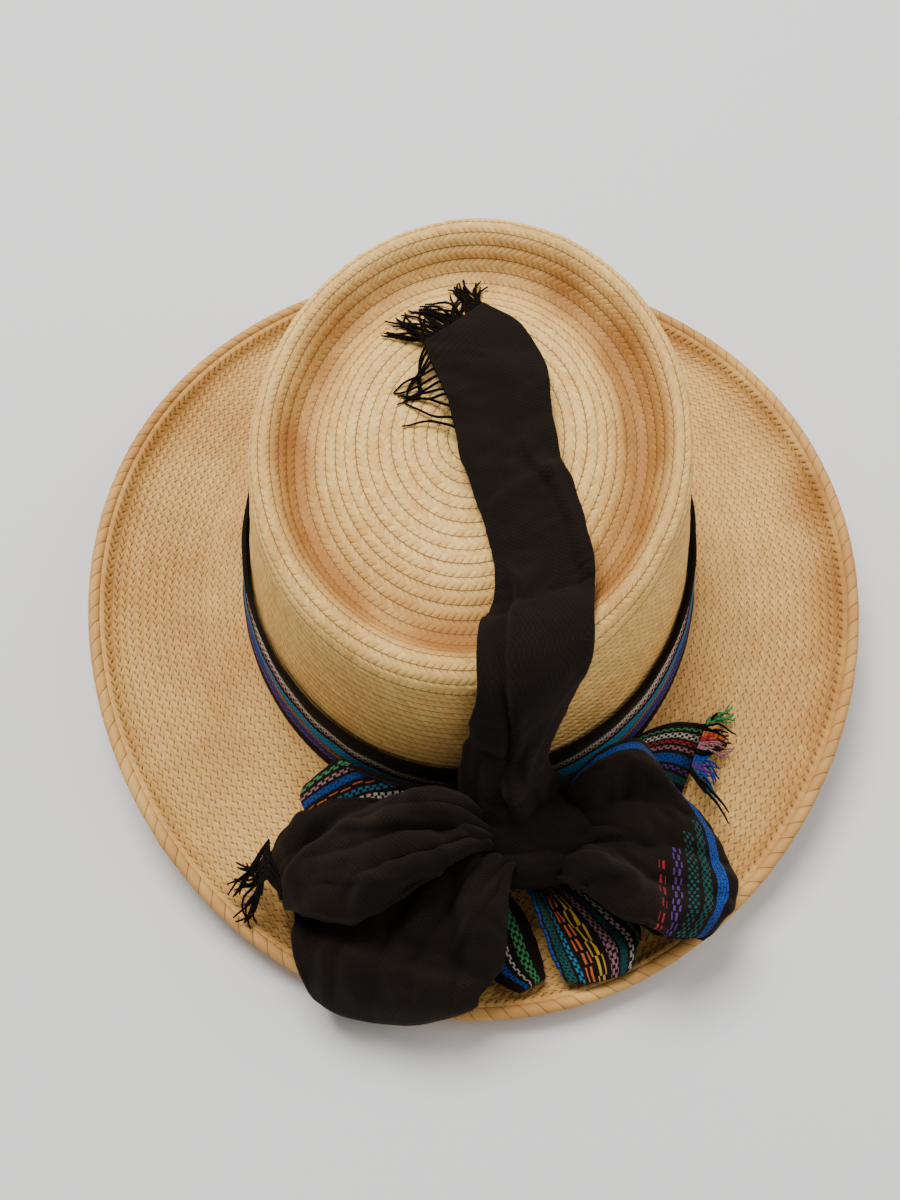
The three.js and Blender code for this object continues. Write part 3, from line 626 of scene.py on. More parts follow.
def plaitUv(rowOf, low, high, count, lengths, strand):
    # for each face of a ring grid: strands round the row, and the row plus the share across it
    strands = np.round(lengths[rowOf] / strand)
    u = strands[:, None, None] * (roundCorners(count) / count)[None]
    v = np.stack([rowOf + low, rowOf + high, rowOf + high, rowOf + low], -1)
    v = v[:, None, :] + np.zeros((len(rowOf), count, 1))
    return np.stack([u, v], -1).reshape(-1, 4, 2)


def ridgeOf(share, height):
    # a row of plait stands up between its seams: height (1 - |2 share - 1|^2.2)
    return height * (1 - np.abs(2 * (share % 1) - 1) ** 2.2)


# Crown

crownPlan = {
    "around": 400,
    "topRows": 22,
    "topSamples": 5,
    "wallRows": 25,
    "wallSamples": 4,
    "topRidge": 0.3,
    "wallRidge": 0.45,
    "strand": 2.6,
    "uneven": 0.35,
    "liningRings": 26,
}
# a real stain along the crease; wall, foot and middle are painted shade
crownStainAndShade = {
    "crease": 0.8,     # where the crease's stain lies, as a share of the way out to the lip
    "width": 0.115,
    "round": 0.8,      # its strength all round, and what each side adds
    "right": 0.25,
    "front": 0.2,
    "sides": 0.2,
    "blot": 1.3,
    "uneven": 0.6,
    "wall": 0.16,      # painted shade on the side wall, and more towards its foot by the brim
    "foot": 0.2,
    "middle": 0.35,    # painted shade at the top's middle
}


def crownStainsAndShade(rings, reach, down, angles):
    # the crease's stain fades to both sides of it as exp(-distance^2). The side wall, more towards its foot
    # by the brim, and the top's middle get painted shade. down is the share of the way down the side wall,
    # or less than 0 on the top
    look = crownStainAndShade
    onTop = down <= 0
    crease = np.exp(-(((reach - look["crease"]) / look["width"]) ** 2)) * onTop
    turned = look["round"] + look["right"] * np.cos(angles - 0.1)
    turned = turned - look["front"] * np.sin(angles) + look["sides"] * np.cos(2 * angles)
    blot = look["blot"] + look["uneven"] * ripple(rings[..., 0], rings[..., 1], 40, 5)
    # painted shade: the side wall darker, more so towards its foot by the brim
    foot = np.where(onTop, 0, look["wall"] + look["foot"] * smoothStep(down * 1.6 - 0.6))
    # painted shade at the top's middle
    middle = look["middle"] * np.exp(-((reach / 0.1) ** 2)) * onTop
    stainAndShade = crease[:, None] * np.clip(turned, 0.2, 1.1) * blot + (foot + middle)[:, None]
    return np.clip(stainAndShade, 0, 1)


def makeCrown():
    # rings along the profile, with a ridge for each row of plait and a plain lining
    plan = crownPlan
    angles = np.arange(plan["around"]) / plan["around"] * tau
    wallLength = math.hypot((footHalf - lipHalf).mean(), lipEnd - hat["footRise"])
    topLength = profileLength - wallLength
    topCount = plan["topRows"] * plan["topSamples"]
    wallCount = plan["wallRows"] * plan["wallSamples"]
    topLengths = np.linspace(0.3, topLength, topCount + 1)
    wallLengths = np.linspace(topLength, profileLength, wallCount + 1)[1:]
    columns = alongProfile(np.concatenate([topLengths, wallLengths]))
    rings = ovalRings(columns, angles)
    index = np.arange(len(columns))
    onTop = index <= topCount
    share = np.where(onTop, index / plan["topSamples"], (index - topCount) / plan["wallSamples"])
    ridge = ridgeOf(share, np.where(onTop, plan["topRidge"], plan["wallRidge"]))
    ridge[topCount] = 0
    x, away = rings[..., 0], rings[..., 1] + rings[..., 2]
    swell = plan["uneven"] * ripple(x, away, 34, 11) + 0.12 * ripple(x, away, 7, 12)
    normal = normalsOf(rings, True)
    outer = rings + normal * (ridge[:, None] + swell)[..., None]
    innerLengths = np.linspace(profileLength, 0.3, plan["liningRings"])
    innerBase = ovalRings(alongProfile(innerLengths), angles)
    inner = innerBase + normalsOf(innerBase, True) * hat["wall"]
    points = np.concatenate([outer, inner]) * mm
    faces = gridQuads(len(points), plan["around"], True).tolist()
    rows = np.arange(len(points) - 1)
    top = rows < topCount
    samples = np.where(top, plan["topSamples"], plan["wallSamples"])
    inPart = np.where(top, rows, rows - topCount)
    rowOf = np.where(top, 0, plan["topRows"]) + inPart // samples
    rowOf = np.minimum(rowOf, plan["topRows"] + plan["wallRows"] - 1)
    low = inPart % samples / samples
    high = low + 1 / samples - rowEnd
    topMiddles = (np.arange(plan["topRows"]) + 0.5) * plan["topSamples"]
    wallMiddles = topCount + (np.arange(plan["wallRows"]) + 0.5) * plan["wallSamples"]
    middles = np.concatenate([topMiddles, wallMiddles]).astype(int)
    uv = plaitUv(rowOf, low, high, plan["around"], perimeters(rings, middles), plan["strand"])
    # the crease's stain, with painted shade on the wall and at the top's middle
    stainAndShade = crownStainsAndShade(rings, columns[:, 5], (index - topCount) / wallCount, angles)
    stainAndShade = np.concatenate([stainAndShade, np.full(inner.shape[:2], liningStain)])
    piece = meshPiece("crownPlait", points, faces, uv, {"stainAndShade": stainAndShade})
    closeHoles(piece)
    return dress(piece, "crown", crownStraw)


def closeHoles(piece):
    # closes the small rings left at a plaited disc's middle, and turns all faces outwards
    work = bmesh.new()
    work.from_mesh(piece.data)
    bmesh.ops.holes_fill(work, edges=[edge for edge in work.edges if edge.is_boundary])
    big = [face for face in work.faces if len(face.verts) > 4]
    bmesh.ops.triangulate(work, faces=big)
    bmesh.ops.recalc_face_normals(work, faces=work.faces)
    work.to_mesh(piece.data)
    work.free()


# Brim

brimProfile = table(
    "out foot side turn",
    (0.0, 1.0, 0.0, 0.0),
    (0.16, 0.7, 0.07, 0.0),
    (0.34, 0.24, 0.22, 0.0),
    (0.54, 0.0, 0.5, 0.0),
    (0.72, 0.0, 0.77, 0.0),
    (0.86, 0.0, 0.97, 0.0),
    (0.93, 0.0, 1.05, 0.2),
    (0.97, 0.0, 1.09, 0.55),
    (1.0, 0.0, 1.1, 1.0),
)
brimPlan = {
    "around": 480, "rows": 20, "samples": 4, "ridge": 0.35, "strand": 3.4, "uneven": 0.2,
    "flatArc": 0.12,    # front and back stay flat while the cosine's square is under this
    "intoRoll": 0.7,    # the brim ends inside the rolled edge, by this share of its diameter
}
# edge darkens all along the turned-up edge and patch is a stain; right and near are painted shade
brimStainAndShade = {
    "right": 0.6,       # painted shade on the outer right side
    "edge": 0.2,        # all along the turned-up edge
    "patch": 0.5,       # a patch at the left
    "patchAt": (-92, -62),
    "patchHalf": (26, 34),
    "near": 0.2,        # painted shade beside the crown
}


def sideShare(angles):
    # the brim's sides rise, and its front and back stay flat
    c = np.clip((np.cos(angles) ** 2 - brimPlan["flatArc"]) / (1 - brimPlan["flatArc"]), 0, 1)
    return c**1.15


def brimSurface(out, angles):
    # underside of the brim: shares of the way out, round the crown
    places = [row["out"] for row in brimProfile]
    foot, side, turn = (
        np.interp(out, places, [row[key] for row in brimProfile])[:, None] for key in ("foot", "side", "turn")
    )
    inner = footHalf + hat["gap"]
    outer = edgeBox["half"][:2] - brimPlan["intoRoll"] * hat["roll"]
    t = out[:, None]
    half = [inner[k] + (outer[k] - inner[k]) * t for k in (0, 1)]
    centre = [crownCentre[k] * (1 - t) + edgeBox["middle"][k] * t for k in (0, 1)]
    x, y = centre[0] + half[0] * np.cos(angles), centre[1] + half[1] * np.sin(angles)
    z = foot * hat["footRise"] + side * hat["sideLift"] * sideShare(angles) + turn * hat["edgeRise"]
    return np.stack([x, y, z], -1)


def brimStainsAndShade(x, y, out, angles):
    look = brimStainAndShade
    # painted shade on the outer right side, added to the darkening along the turned-up edge
    right = sum(np.exp(-((angles - turn - 0.15) ** 2) / 0.5) for turn in (0, tau))
    edge = smoothStep((out - 0.62) / 0.35)[:, None] * (look["edge"] + look["right"] * right)
    (atX, atY), (halfX, halfY) = look["patchAt"], look["patchHalf"]
    patch = look["patch"] * np.exp(-(((x - atX) / halfX) ** 2 + ((y - atY) / halfY) ** 2))
    # painted shade on the brim beside the crown
    near = look["near"] * smoothStep((0.3 - out) / 0.3)[:, None]
    return np.clip((edge + patch + near) * (0.75 + 0.6 * ripple(x, y, 36, 8)), 0, 1)


def makeBrim():
    # rows of plait on top of the surface, the same rows under it, and the two joined at both ends
    plan = brimPlan
    angles = np.arange(plan["around"]) / plan["around"] * tau
    count = plan["rows"] * plan["samples"]
    out = np.linspace(0, 1, count + 1)
    base = brimSurface(out, angles)
    for _ in range(2):   # softens the profile's corners
        base[1:-1, :, 2] = (base[:-2, :, 2] + 2 * base[1:-1, :, 2] + base[2:, :, 2]) / 4
    x, y, normal = base[..., 0], base[..., 1], normalsOf(base, True)
    ridge = ridgeOf(np.arange(count + 1) / plan["samples"], plan["ridge"])[:, None]
    top = base + normal * (hat["wall"] + ridge + plan["uneven"] * ripple(x, y, 30, 21))[..., None]
    under = (base + normal * (plan["ridge"] + 0.1 - ridge)[..., None])[::-1]
    under[..., 2] = np.maximum(under[..., 2], 0)
    points = np.concatenate([top, under, top[:1]]) * mm
    faces = gridQuads(len(points), plan["around"], True).tolist()
    rows = np.arange(len(points) - 1)
    mirrored = np.clip(np.where(rows <= count, rows, 2 * count + 1 - rows), 0, count - 1)
    low = mirrored % plan["samples"] / plan["samples"]
    high = low + 1 / plan["samples"] - rowEnd
    middles = ((np.arange(plan["rows"]) + 0.5) * plan["samples"]).astype(int)
    lengths = perimeters(base, middles)
    uv = plaitUv(mirrored // plan["samples"], low, high, plan["around"], lengths, plan["strand"])
    stainAndShade = brimStainsAndShade(x, y, out, angles)
    stainAndShade = np.concatenate([stainAndShade, 0.3 * stainAndShade[::-1], stainAndShade[:1]])
    piece = meshPiece("brimPlait", points, faces, uv, {"stainAndShade": stainAndShade})
    closeHoles(piece)
    return dress(piece, "brim", brimStraw)


# Rolled edge

edgePlan = {"around": 900, "sides": 14, "stitch": 6.4, "groove": 0.16, "slant": 1.6}


def edgeLine(angles):
    # middle line of the rolled edge, on an oval
    half = edgeBox["half"][:2] - hat["roll"] / 2
    x = edgeBox["middle"][0] + half[0] * np.cos(angles)
    y = edgeBox["middle"][1] + half[1] * np.sin(angles)
    rise = brimProfile[-1]["side"] * hat["sideLift"] * sideShare(angles)
    return np.stack([x, y, rise + hat["edgeRise"] + hat["gap"]], -1)


def makeEdge():
    # a bar round the brim, wrapped with slanting strands that meet in shallow grooves
    plan = edgePlan
    count = plan["around"]
    angles = np.arange(count) / count * tau
    line = edgeLine(angles)
    along = np.roll(line, -1, axis=0) - np.roll(line, 1, axis=0)
    along /= np.linalg.norm(along, axis=1, keepdims=True)
    across = np.cross(along, [0, 0, 1])
    across /= np.linalg.norm(across, axis=1, keepdims=True)
    up = np.cross(across, along)
    turn = np.arange(plan["sides"]) / plan["sides"] * tau
    perimeter = np.linalg.norm(np.diff(line, axis=0), axis=1).sum()
    stitches = round(perimeter / plan["stitch"])
    phase = (angles[None] / tau * stitches + plan["slant"] * turn[:, None] / tau) % 1
    groove = plan["groove"] * np.exp(-((np.minimum(phase, 1 - phase) / 0.1) ** 2))
    radius = hat["roll"] / 2 - groove + 0.12 * ripple(line[None, :, 0], line[None, :, 1], 12, 31)
    points = line[None] + radius[..., None] * (
        np.cos(turn)[:, None, None] * across[None] + np.sin(turn)[:, None, None] * up[None]
    )
    points = np.concatenate([points, points[:1]]) * mm
    faces = gridQuads(len(points), count, True).tolist()
    u = roundCorners(count) / count * stitches
    v = downCorners(np.arange(len(points) - 1)) / plan["sides"] * plan["slant"]
    slanted = u[None] + v[:, None, :]
    uv = np.stack([slanted, np.full_like(slanted, 0.5)], -1)
    stainAndShade = 0.25 + 0.25 * ripple(points[..., 0] / mm, points[..., 1] / mm, 40, 9)
    piece = meshPiece("rolledEdge", points, faces, uv, {"stainAndShade": np.clip(stainAndShade, 0, 1)})
    closeHoles(piece)
    return dress(piece, "brim_edge", edgeStraw)


crown = makeCrown()
brim = makeBrim()
edge = makeEdge()
print("plaited pieces made")


# Cloth: what is laid later rests on what lies there, kept as a map of heights over the plan

coverCell = 1.0
coverLow = np.array([-115.0, -185.0])
cover = np.zeros((240, 160))


def layOn(points):
    # raises the map where a surface passes over it
    at = np.round((points.reshape(-1, 3)[:, :2] - coverLow) / coverCell).astype(int)
    inside = (at >= 0).all(axis=1) & (at < cover.shape).all(axis=1)
    np.maximum.at(cover, tuple(at[inside].T), points.reshape(-1, 3)[inside, 2])


def softCover(reach):
    # highest thing within reach, smoothed, because cloth bridges dips and rounds edges
    high = cover.copy()
    for _ in range(reach):
        for axis in (0, 1):
            high = np.maximum(high, np.maximum(np.roll(high, 1, axis), np.roll(high, -1, axis)))
    for _ in range(reach):
        for axis in (0, 1):
            high = (np.roll(high, 1, axis) + high + np.roll(high, -1, axis)) / 3
    return high


def between(field, row, column):
    # a grid's value between its points, from the four round the place
    i = np.clip(row.astype(int), 0, field.shape[0] - 2)
    j = np.clip(column.astype(int), 0, field.shape[1] - 2)
    u, v = row - i, column - j
    near = field[i, j] * (1 - u) + field[i + 1, j] * u
    far = field[i, j + 1] * (1 - u) + field[i + 1, j + 1] * u
    return near * (1 - v) + far * v


def sample(field, x, y):
    at = (np.stack([x, y], -1) - coverLow) / coverCell
    at = np.clip(at, 0, np.array(field.shape) - 1.001)
    return between(field, at[..., 0], at[..., 1])


def soften(field, passes):
    # each inner point goes half way to the mean of its four neighbours
    for _ in range(passes):
        near = field[:-2, 1:-1] + field[2:, 1:-1] + field[1:-1, :-2] + field[1:-1, 2:]
        field[1:-1, 1:-1] = (near + 4 * field[1:-1, 1:-1]) / 8


denseAngles = np.linspace(math.pi, tau, 900)
layOn(brimSurface(np.linspace(0, 1, 220), denseAngles) + [0, 0, hat["wall"] + 0.4])
layOn(edgeLine(denseAngles) + [0, 0, hat["roll"] / 2])

sash = {
    "width": 84,
    "thick": 1.5,      # of the cloth as it lies, with its nap
    "bowHeight": 32,
    "layerGap": 1.6,
    "band": 2.4,
    "bandFold": 1.2,
    "gather": 0.7,     # how much of a lobe's ribs is gone at its far end
}
crownFront = crownCentre[1] - footHalf[1]
frontDepth = crownFront - edgeBox["low"][1]


def clearOfBand(x, y):
    # plan points inside the band move out to it
    half = footHalf + sash["band"] + sash["bandFold"] + 2 * hat["gap"]
    reach = np.hypot((x - crownCentre[0]) / half[0], (y - crownCentre[1]) / half[1])
    scale = 1 / np.minimum(reach, 1)
    return crownCentre[0] + (x - crownCentre[0]) * scale, crownCentre[1] + (y - crownCentre[1]) * scale


def lapHeight(across, along, laps):
    # folds: each lap steps up along a line and sinks away gently on its far side
    total = 0
    for lap in laps:
        a, b = np.array(lap["start"], float), np.array(lap["end"], float)
        run = (b - a) / np.linalg.norm(b - a)
        offX, offY = across - a[0], along - a[1]
        forward = offX * run[0] + offY * run[1]
        side = offX * run[1] - offY * run[0]
        length = np.linalg.norm(b - a)
        side = side + 1.2 * np.sin(forward / 7 + a[0])
        ends = smoothStep((forward + 6) / 12) * smoothStep((length + 6 - forward) / 12)
        step = smoothStep(side / lap.get("edge", 1.6)) * np.exp(-np.maximum(side, 0) / lap["sink"])
        total = total + lap["high"] * ends * step
    return total


def giveThickness(piece):
    solid = piece.modifiers.new("thickness", "SOLIDIFY")
    solid.thickness = sash["thick"] * mm
    solid.offset = 0


def sheetPiece(name, middle, across, along):
    # a cloth sheet with its thickness, from the middle of its wall; uv in millimetres
    quads = gridQuads(*middle.shape[:2])
    flat = np.stack([across, along], -1).reshape(-1, 2)
    piece = meshPiece(name, middle * mm, quads.tolist(), flat[quads])
    giveThickness(piece)
    return piece


def flatSize(middle):
    # the flat cut that makes a gathered cloth: lengths over its widest row and its longest column,
    # and its area
    down, over = np.diff(middle, axis=0), np.diff(middle, axis=1)
    width = np.linalg.norm(over, axis=-1).sum(axis=1).max() * mm
    length = np.linalg.norm(down, axis=-1).sum(axis=0).max() * mm
    area = np.linalg.norm(np.cross(down[:, :-1], over[:-1]), axis=-1).sum() * mm * mm
    return (width, length), min(area, 0.99 * width * length)


def makeStrip(name, rows, plan):
    # a strip of cloth carried along its table of places, laid on the cover and raised into folds.
    # side is a share of the brim's half width, out of its depth before the crown, half of the sash's
    # width, lift and arch of the bow's height: lift for the whole row and arch for its middle. turn is
    # the way across the strip in plan and roll its tilt, in degrees. layer is 1 where the strip lies
    # on its own underside.
    steps, columns = plan["steps"], plan["columns"]
    at = curveThrough(rows, np.linspace(0, 1, steps))
    s = np.linspace(-1, 1, columns)[None]
    col = {key: value[:, None] for key, value in at.items()}
    turn, roll = np.radians(col["turn"]), np.radians(col["roll"])
    half = col["half"] * sash["width"]
    frayed = ripple(np.linspace(0, 90, steps)[:, None], s * 30, 13, plan["seed"])
    reach = half * s * np.cos(roll) * (1 + plan.get("wavy", 0.035) * frayed)
    lineX, lineY = col["side"] * edgeBox["half"][0], crownFront - col["out"] * frontDepth
    # the corners at the far end draw back towards the knot, so that it is rounded
    awayX, awayY = lineX - lineX[0], lineY - lineY[0]
    gone = np.hypot(awayX, awayY) + 1e-6
    near, far = plan.get("rounded", (0, 0))
    back = np.where(s < 0, near, far) * np.abs(s) ** 3 * smoothStep((gone / gone.max() - 0.45) / 0.55)
    x = lineX + np.cos(turn) * reach - awayX / gone * back
    y = lineY + np.sin(turn) * reach - awayY / gone * back
    x, y = clearOfBand(x, y)
    strideX = np.diff(lineX, axis=0, prepend=lineX[:1])
    strideY = np.diff(lineY, axis=0, prepend=lineY[:1])
    along = np.cumsum(np.hypot(strideX, strideY), axis=0) + 0 * s
    across = half * s
    cut = half.max() * s + 0 * along   # the cloth keeps its cut width where it is gathered
    rest = sample(softCover(4), x, y) + hat["gap"] + sash["thick"] / 2
    rest = rest + col["layer"] * (sash["thick"] + sash["layerGap"])
    above = (col["lift"] + col["arch"] * (1 - s * s)) * sash["bowHeight"] + np.sin(roll) * half * s
    z = rest + np.maximum(sash["bowHeight"] * np.minimum(col["lift"], 0), above)
    folds = lapHeight(across, along, plan.get("laps", ()))
    gather = 1 - sash["gather"] * along / along.max()
    phase = plan.get("ribCount", 2.5) * (s + 0.16 * ripple(along, across, 45, plan["seed"] + 1))
    ribs = plan.get("ribs", 0) * gather * np.abs(np.sin(math.pi * phase)) ** 0.7
    soft = plan.get("soft", 1.0) * (1 + ripple(x, y, 24, plan["seed"] + 2)) / 2
    crisp = plan.get("crisp", 0.5) * (1 - np.abs(ripple(x, y, 13, plan["seed"] + 3)))
    ends = smoothStep(np.minimum(along, along.max() - along) / 8 + 0.3)
    free = 1 if plan.get("loop") else ends
    shown = np.where(col["layer"] > 0.4, 1, plan.get("underShare", 1))
    z = z + (folds + ribs + soft + crisp) * free * shown
    soften(z, 2)
    middle = np.stack([x, y, z], -1)
    layOn(middle + [0, 0, sash["thick"] / 2])
    size, area = flatSize(middle)
    return {"piece": sheetPiece(name, middle, cut, along), "middle": middle, "size": size, "area": area}


stripNames = "side out lift half turn roll arch layer"
leftLoopRows = table(
    stripNames,
    (0.08, 0.2, -0.3, 0.05, -36, 0, 0.05, 1),
    (0.0, 0.3, 0.22, 0.17, -34, 0, 0.16, 1),
    (-0.1, 0.45, 0.38, 0.32, -30, 3, 0.24, 1),
    (-0.19, 0.66, 0.32, 0.43, -20, 3, 0.26, 1),
    (-0.225, 0.84, 0.22, 0.41, -12, 0, 0.16, 1),
    (-0.24, 0.97, 0.12, 0.36, -9, 0, 0.06, 1),
    (-0.24, 1.0, 0.06, 0.34, -9, 0, 0, 0.5),
    (-0.23, 0.94, 0, 0.31, -12, 0, 0, 0),
    (-0.16, 0.72, 0, 0.3, -20, 0, 0, 0),
    (-0.07, 0.46, 0, 0.2, -28, 0, 0, 0),
)
leftTailRows = table(
    stripNames,
    (0.06, 0.26, -0.4, 0.05, 80, 0, 0.04, 0),
    (-0.03, 0.3, -0.1, 0.12, 80, 0, 0.12, 0),
    (-0.14, 0.35, 0.04, 0.2, 84, 0, 0.2, 0),
    (-0.27, 0.38, 0.04, 0.26, 92, 0, 0.26, 0),
    (-0.39, 0.38, 0.06, 0.25, 104, 0, 0.22, 0),
    (-0.46, 0.4, 0.02, 0.17, 110, 0, 0.1, 0),
)
stripedFoldRows = table(
    stripNames,
    (-0.02, 0.02, 0.6, 0.12, 84, 24, 0.05, 0),
    (-0.13, -0.02, 0.54, 0.16, 86, 26, 0.08, 0),
    (-0.27, -0.04, 0.36, 0.17, 100, 20, 0.1, 0),
    (-0.41, 0.04, 0.08, 0.15, 120, 8, 0.06, 0),
)
rightLoopRows = table(
    stripNames,
    (0.1, 0.26, -0.7, 0.05, 84, 0, 0.05, 1),
    (0.19, 0.26, 0.05, 0.16, 84, 0, 0.16, 1),
    (0.28, 0.25, 0.38, 0.28, 84, 0, 0.26, 1),
    (0.4, 0.28, 0.32, 0.36, 88, -3, 0.28, 1),
    (0.51, 0.32, 0.22, 0.35, 94, -3, 0.18, 1),
    (0.575, 0.34, 0.12, 0.3, 98, 0, 0.06, 1),
    (0.58, 0.34, 0.05, 0.29, 98, 0, 0, 0.5),
    (0.54, 0.33, 0, 0.28, 96, 0, 0, 0),
    (0.42, 0.31, 0, 0.26, 90, 0, 0, 0),
    (0.28, 0.27, 0, 0.16, 84, 0, 0, 0),
)
frontFlapRows = table(
    stripNames,
    (0.17, 0.4, 0.2, 0.09, 12, 0, 0.06, 0),
    (0.24, 0.56, 0.18, 0.16, 14, 0, 0.1, 0),
    (0.29, 0.7, 0.1, 0.19, 16, 0, 0.1, 0),
    (0.3, 0.83, 0.02, 0.15, 14, 0, 0.04, 0),
)
greenTipRows = table(
    stripNames,
    (0.03, 0.44, 0.24, 0.06, 24, 0, 0.02, 0),
    (0.06, 0.58, 0.2, 0.1, 26, 0, 0.05, 0),
    (0.09, 0.74, 0.1, 0.11, 28, 0, 0.05, 0),
    (0.13, 0.85, 0.02, 0.06, 32, 0, 0.02, 0),
)
rightTailRows = table(
    stripNames,
    (0.24, 0.0, 0.4, 0.08, 64, 0, 0.04, 0),
    (0.34, -0.14, 0.3, 0.11, 70, 0, 0.08, 0),
    (0.46, -0.24, 0.14, 0.15, 66, 0, 0.08, 0),
    (0.55, -0.24, 0.03, 0.18, 66, 0, 0.03, 0),
)
bowPieces = [
    {
        "name": "rightTail", "node": "right_tail", "slot": "striped_cotton", "material": tailCotton,
        "rows": rightTailRows, "held": "laid",
        "plan": {"steps": 60, "columns": 34, "seed": 41, "soft": 1.6, "crisp": 0.5},
    },
    {
        "name": "stripedFold", "node": "striped_fold", "slot": "striped_cotton", "material": foldCotton,
        "rows": stripedFoldRows, "held": "folded",
        "plan": {
            "steps": 70, "columns": 32, "seed": 51, "soft": 2.4, "crisp": 1.2, "rounded": (7, 9),
            "laps": [{"start": (-14, 10), "end": (10, 50), "high": 2.2, "sink": 9}],
        },
    },
    {
        "name": "greenTip", "node": "green_tip", "slot": "striped_cotton", "material": tipCotton,
        "rows": greenTipRows, "held": "laid",
        "plan": {"steps": 46, "columns": 22, "seed": 61, "soft": 0.8, "crisp": 0.3},
    },
    {
        "name": "frontFlap", "node": "front_flap", "slot": "striped_cotton", "material": flapCotton,
        "rows": frontFlapRows, "held": "laid",
        "plan": {
            "steps": 56, "columns": 44, "seed": 71, "soft": 1.8, "crisp": 0.9, "rounded": (3, 6),
            "laps": [{"start": (-8, 6), "end": (4, 34), "high": 3.0, "sink": 7}],
        },
    },
    {
        "name": "leftLoop", "node": "left_loop", "slot": "black_cotton", "material": blackCotton,
        "rows": leftLoopRows, "held": "gathered",
        "plan": {
            "steps": 170, "columns": 76, "seed": 84, "ribs": 4.2, "ribCount": 2.6, "soft": 5.0,
            "crisp": 3.2, "wavy": 0.07, "rounded": (12, 9), "loop": True, "underShare": 0.1,
            "laps": [
                {"start": (-20, 8), "end": (-12, 48), "high": 4.5, "sink": 12},
                {"start": (-4, 4), "end": (4, 52), "high": 5.0, "sink": 13},
                {"start": (13, 10), "end": (20, 50), "high": 4.0, "sink": 9},
                {"start": (4, 22), "end": (-26, 30), "high": 3.0, "sink": 9},
            ],
        },
    },
    {
        "name": "rightLoop", "node": "right_loop", "slot": "black_cotton", "material": loopCotton,
        "rows": rightLoopRows, "held": "gathered",
        "plan": {
            "steps": 170, "columns": 70, "seed": 94, "ribs": 3.8, "ribCount": 2.2, "soft": 4.4,
            "crisp": 2.8, "wavy": 0.06, "rounded": (12, 12), "loop": True, "underShare": 0.1,
            "laps": [
                {"start": (12, 2), "end": (20, 48), "high": 3.6, "sink": 10},
                {"start": (-6, 4), "end": (-2, 46), "high": 4.6, "sink": 12},
                {"start": (-20, 14), "end": (-13, 44), "high": 3.0, "sink": 8},
            ],
        },
    },
    {
        "name": "leftTail", "node": "left_tail", "slot": "black_cotton", "material": blackCotton,
        "rows": leftTailRows, "held": "gathered",
        "plan": {
            "steps": 110, "columns": 64, "seed": 104, "ribs": 3.4, "ribCount": 2.2, "soft": 4.4,
            "crisp": 3.0, "wavy": 0.06,
            "laps": [
                {"start": (-4, 6), "end": (8, 56), "high": 4.4, "sink": 11},
                {"start": (-14, 14), "end": (-12, 60), "high": 3.6, "sink": 9},
            ],
        },
    },
]
sheets = {}
for entry in bowPieces:
    made = makeStrip(entry["name"], entry["rows"], entry["plan"])
    dress(made["piece"], entry["node"], entry["material"])
    sheets[entry["name"]] = {**made, "held": entry["held"]}
print("bow laid")


# Band

bandPlan = {
    "around": 480,
    "rows": 30,
    "under": 0.6,      # the top edge lies this much below the frame's
    "wave": 0.5,       # rise and fall of the top edge
    "folds": 2.2,      # folds across its width
    "openedOut": 1.12,
}


def makeBand():
    # the sash folded lengthwise round the crown's foot, with shallow lengthwise folds
    around, rows = bandPlan["around"], bandPlan["rows"]
    angles = np.arange(around) / around * tau
    low = hat["footRise"] + hat["wall"] + 2 * hat["gap"]
    high = bandTop - bandPlan["under"]
    share = np.linspace(1, 0, rows)[:, None]
    height = low + (high - low) * share + bandPlan["wave"] * np.sin(5 * angles + 1) * share
    down = (lipEnd - height) / (lipEnd - hat["footRise"])
    uneven = 0.12 * np.sin(3 * angles) + 0.05 * ripple(angles * 30, share * 20, 30, 4)
    folds = sash["bandFold"] * (0.5 + 0.5 * np.cos(tau * (bandPlan["folds"] * share + uneven)))
    out = sash["thick"] / 2 + 0.6 + folds + 0.25 * ripple(angles * 80 + 0 * share, height, 16, 6)
    halfX, halfY = (lipHalf[k] + (footHalf[k] - lipHalf[k]) * down + out for k in (0, 1))
    turned = np.radians(hat["lipTurn"] * (1 - down))
    x, y = halfX * np.cos(angles), halfY * np.sin(angles)
    centreY = crownCentre[1] - hat["lipAhead"] * (1 - down)
    middle = np.stack(
        [
            crownCentre[0] + np.cos(turned) * x - np.sin(turned) * y,
            centreY + np.sin(turned) * x + np.cos(turned) * y,
            height + hat["lipTilt"] * (1 - down) * np.sin(angles),
        ],
        -1,
    )
    perimeter = math.pi * (footHalf.sum() + 4)
    width = (high - low) * bandPlan["openedOut"]
    across = (share - 0.5) * width + 0 * angles
    quads = gridQuads(rows, around, True)
    along = np.broadcast_to(roundCorners(around)[None] / around * perimeter, (rows - 1, around, 4))
    uv = np.stack([across.reshape(-1)[quads], along.reshape(-1, 4)], -1)
    piece = meshPiece("sashBand", middle * mm, quads.tolist(), uv)
    giveThickness(piece)
    dress(piece, "sash_band", bandCotton)


# Tail over the crown

tailShape = {
    "start": 36,       # mm up the crown's front where the tail begins
    "length": 192,
    "puff": 4,
    "sag": 0.5,        # share of the crease's depth that the cloth follows
    "steps": 250,
    "columns": 52,
    "askew": 11,       # mm by which the frayed end's right corner is further on
    "wavy": 0.08,
    "far": 0.84,       # share of the lip's half length where its line ends
}
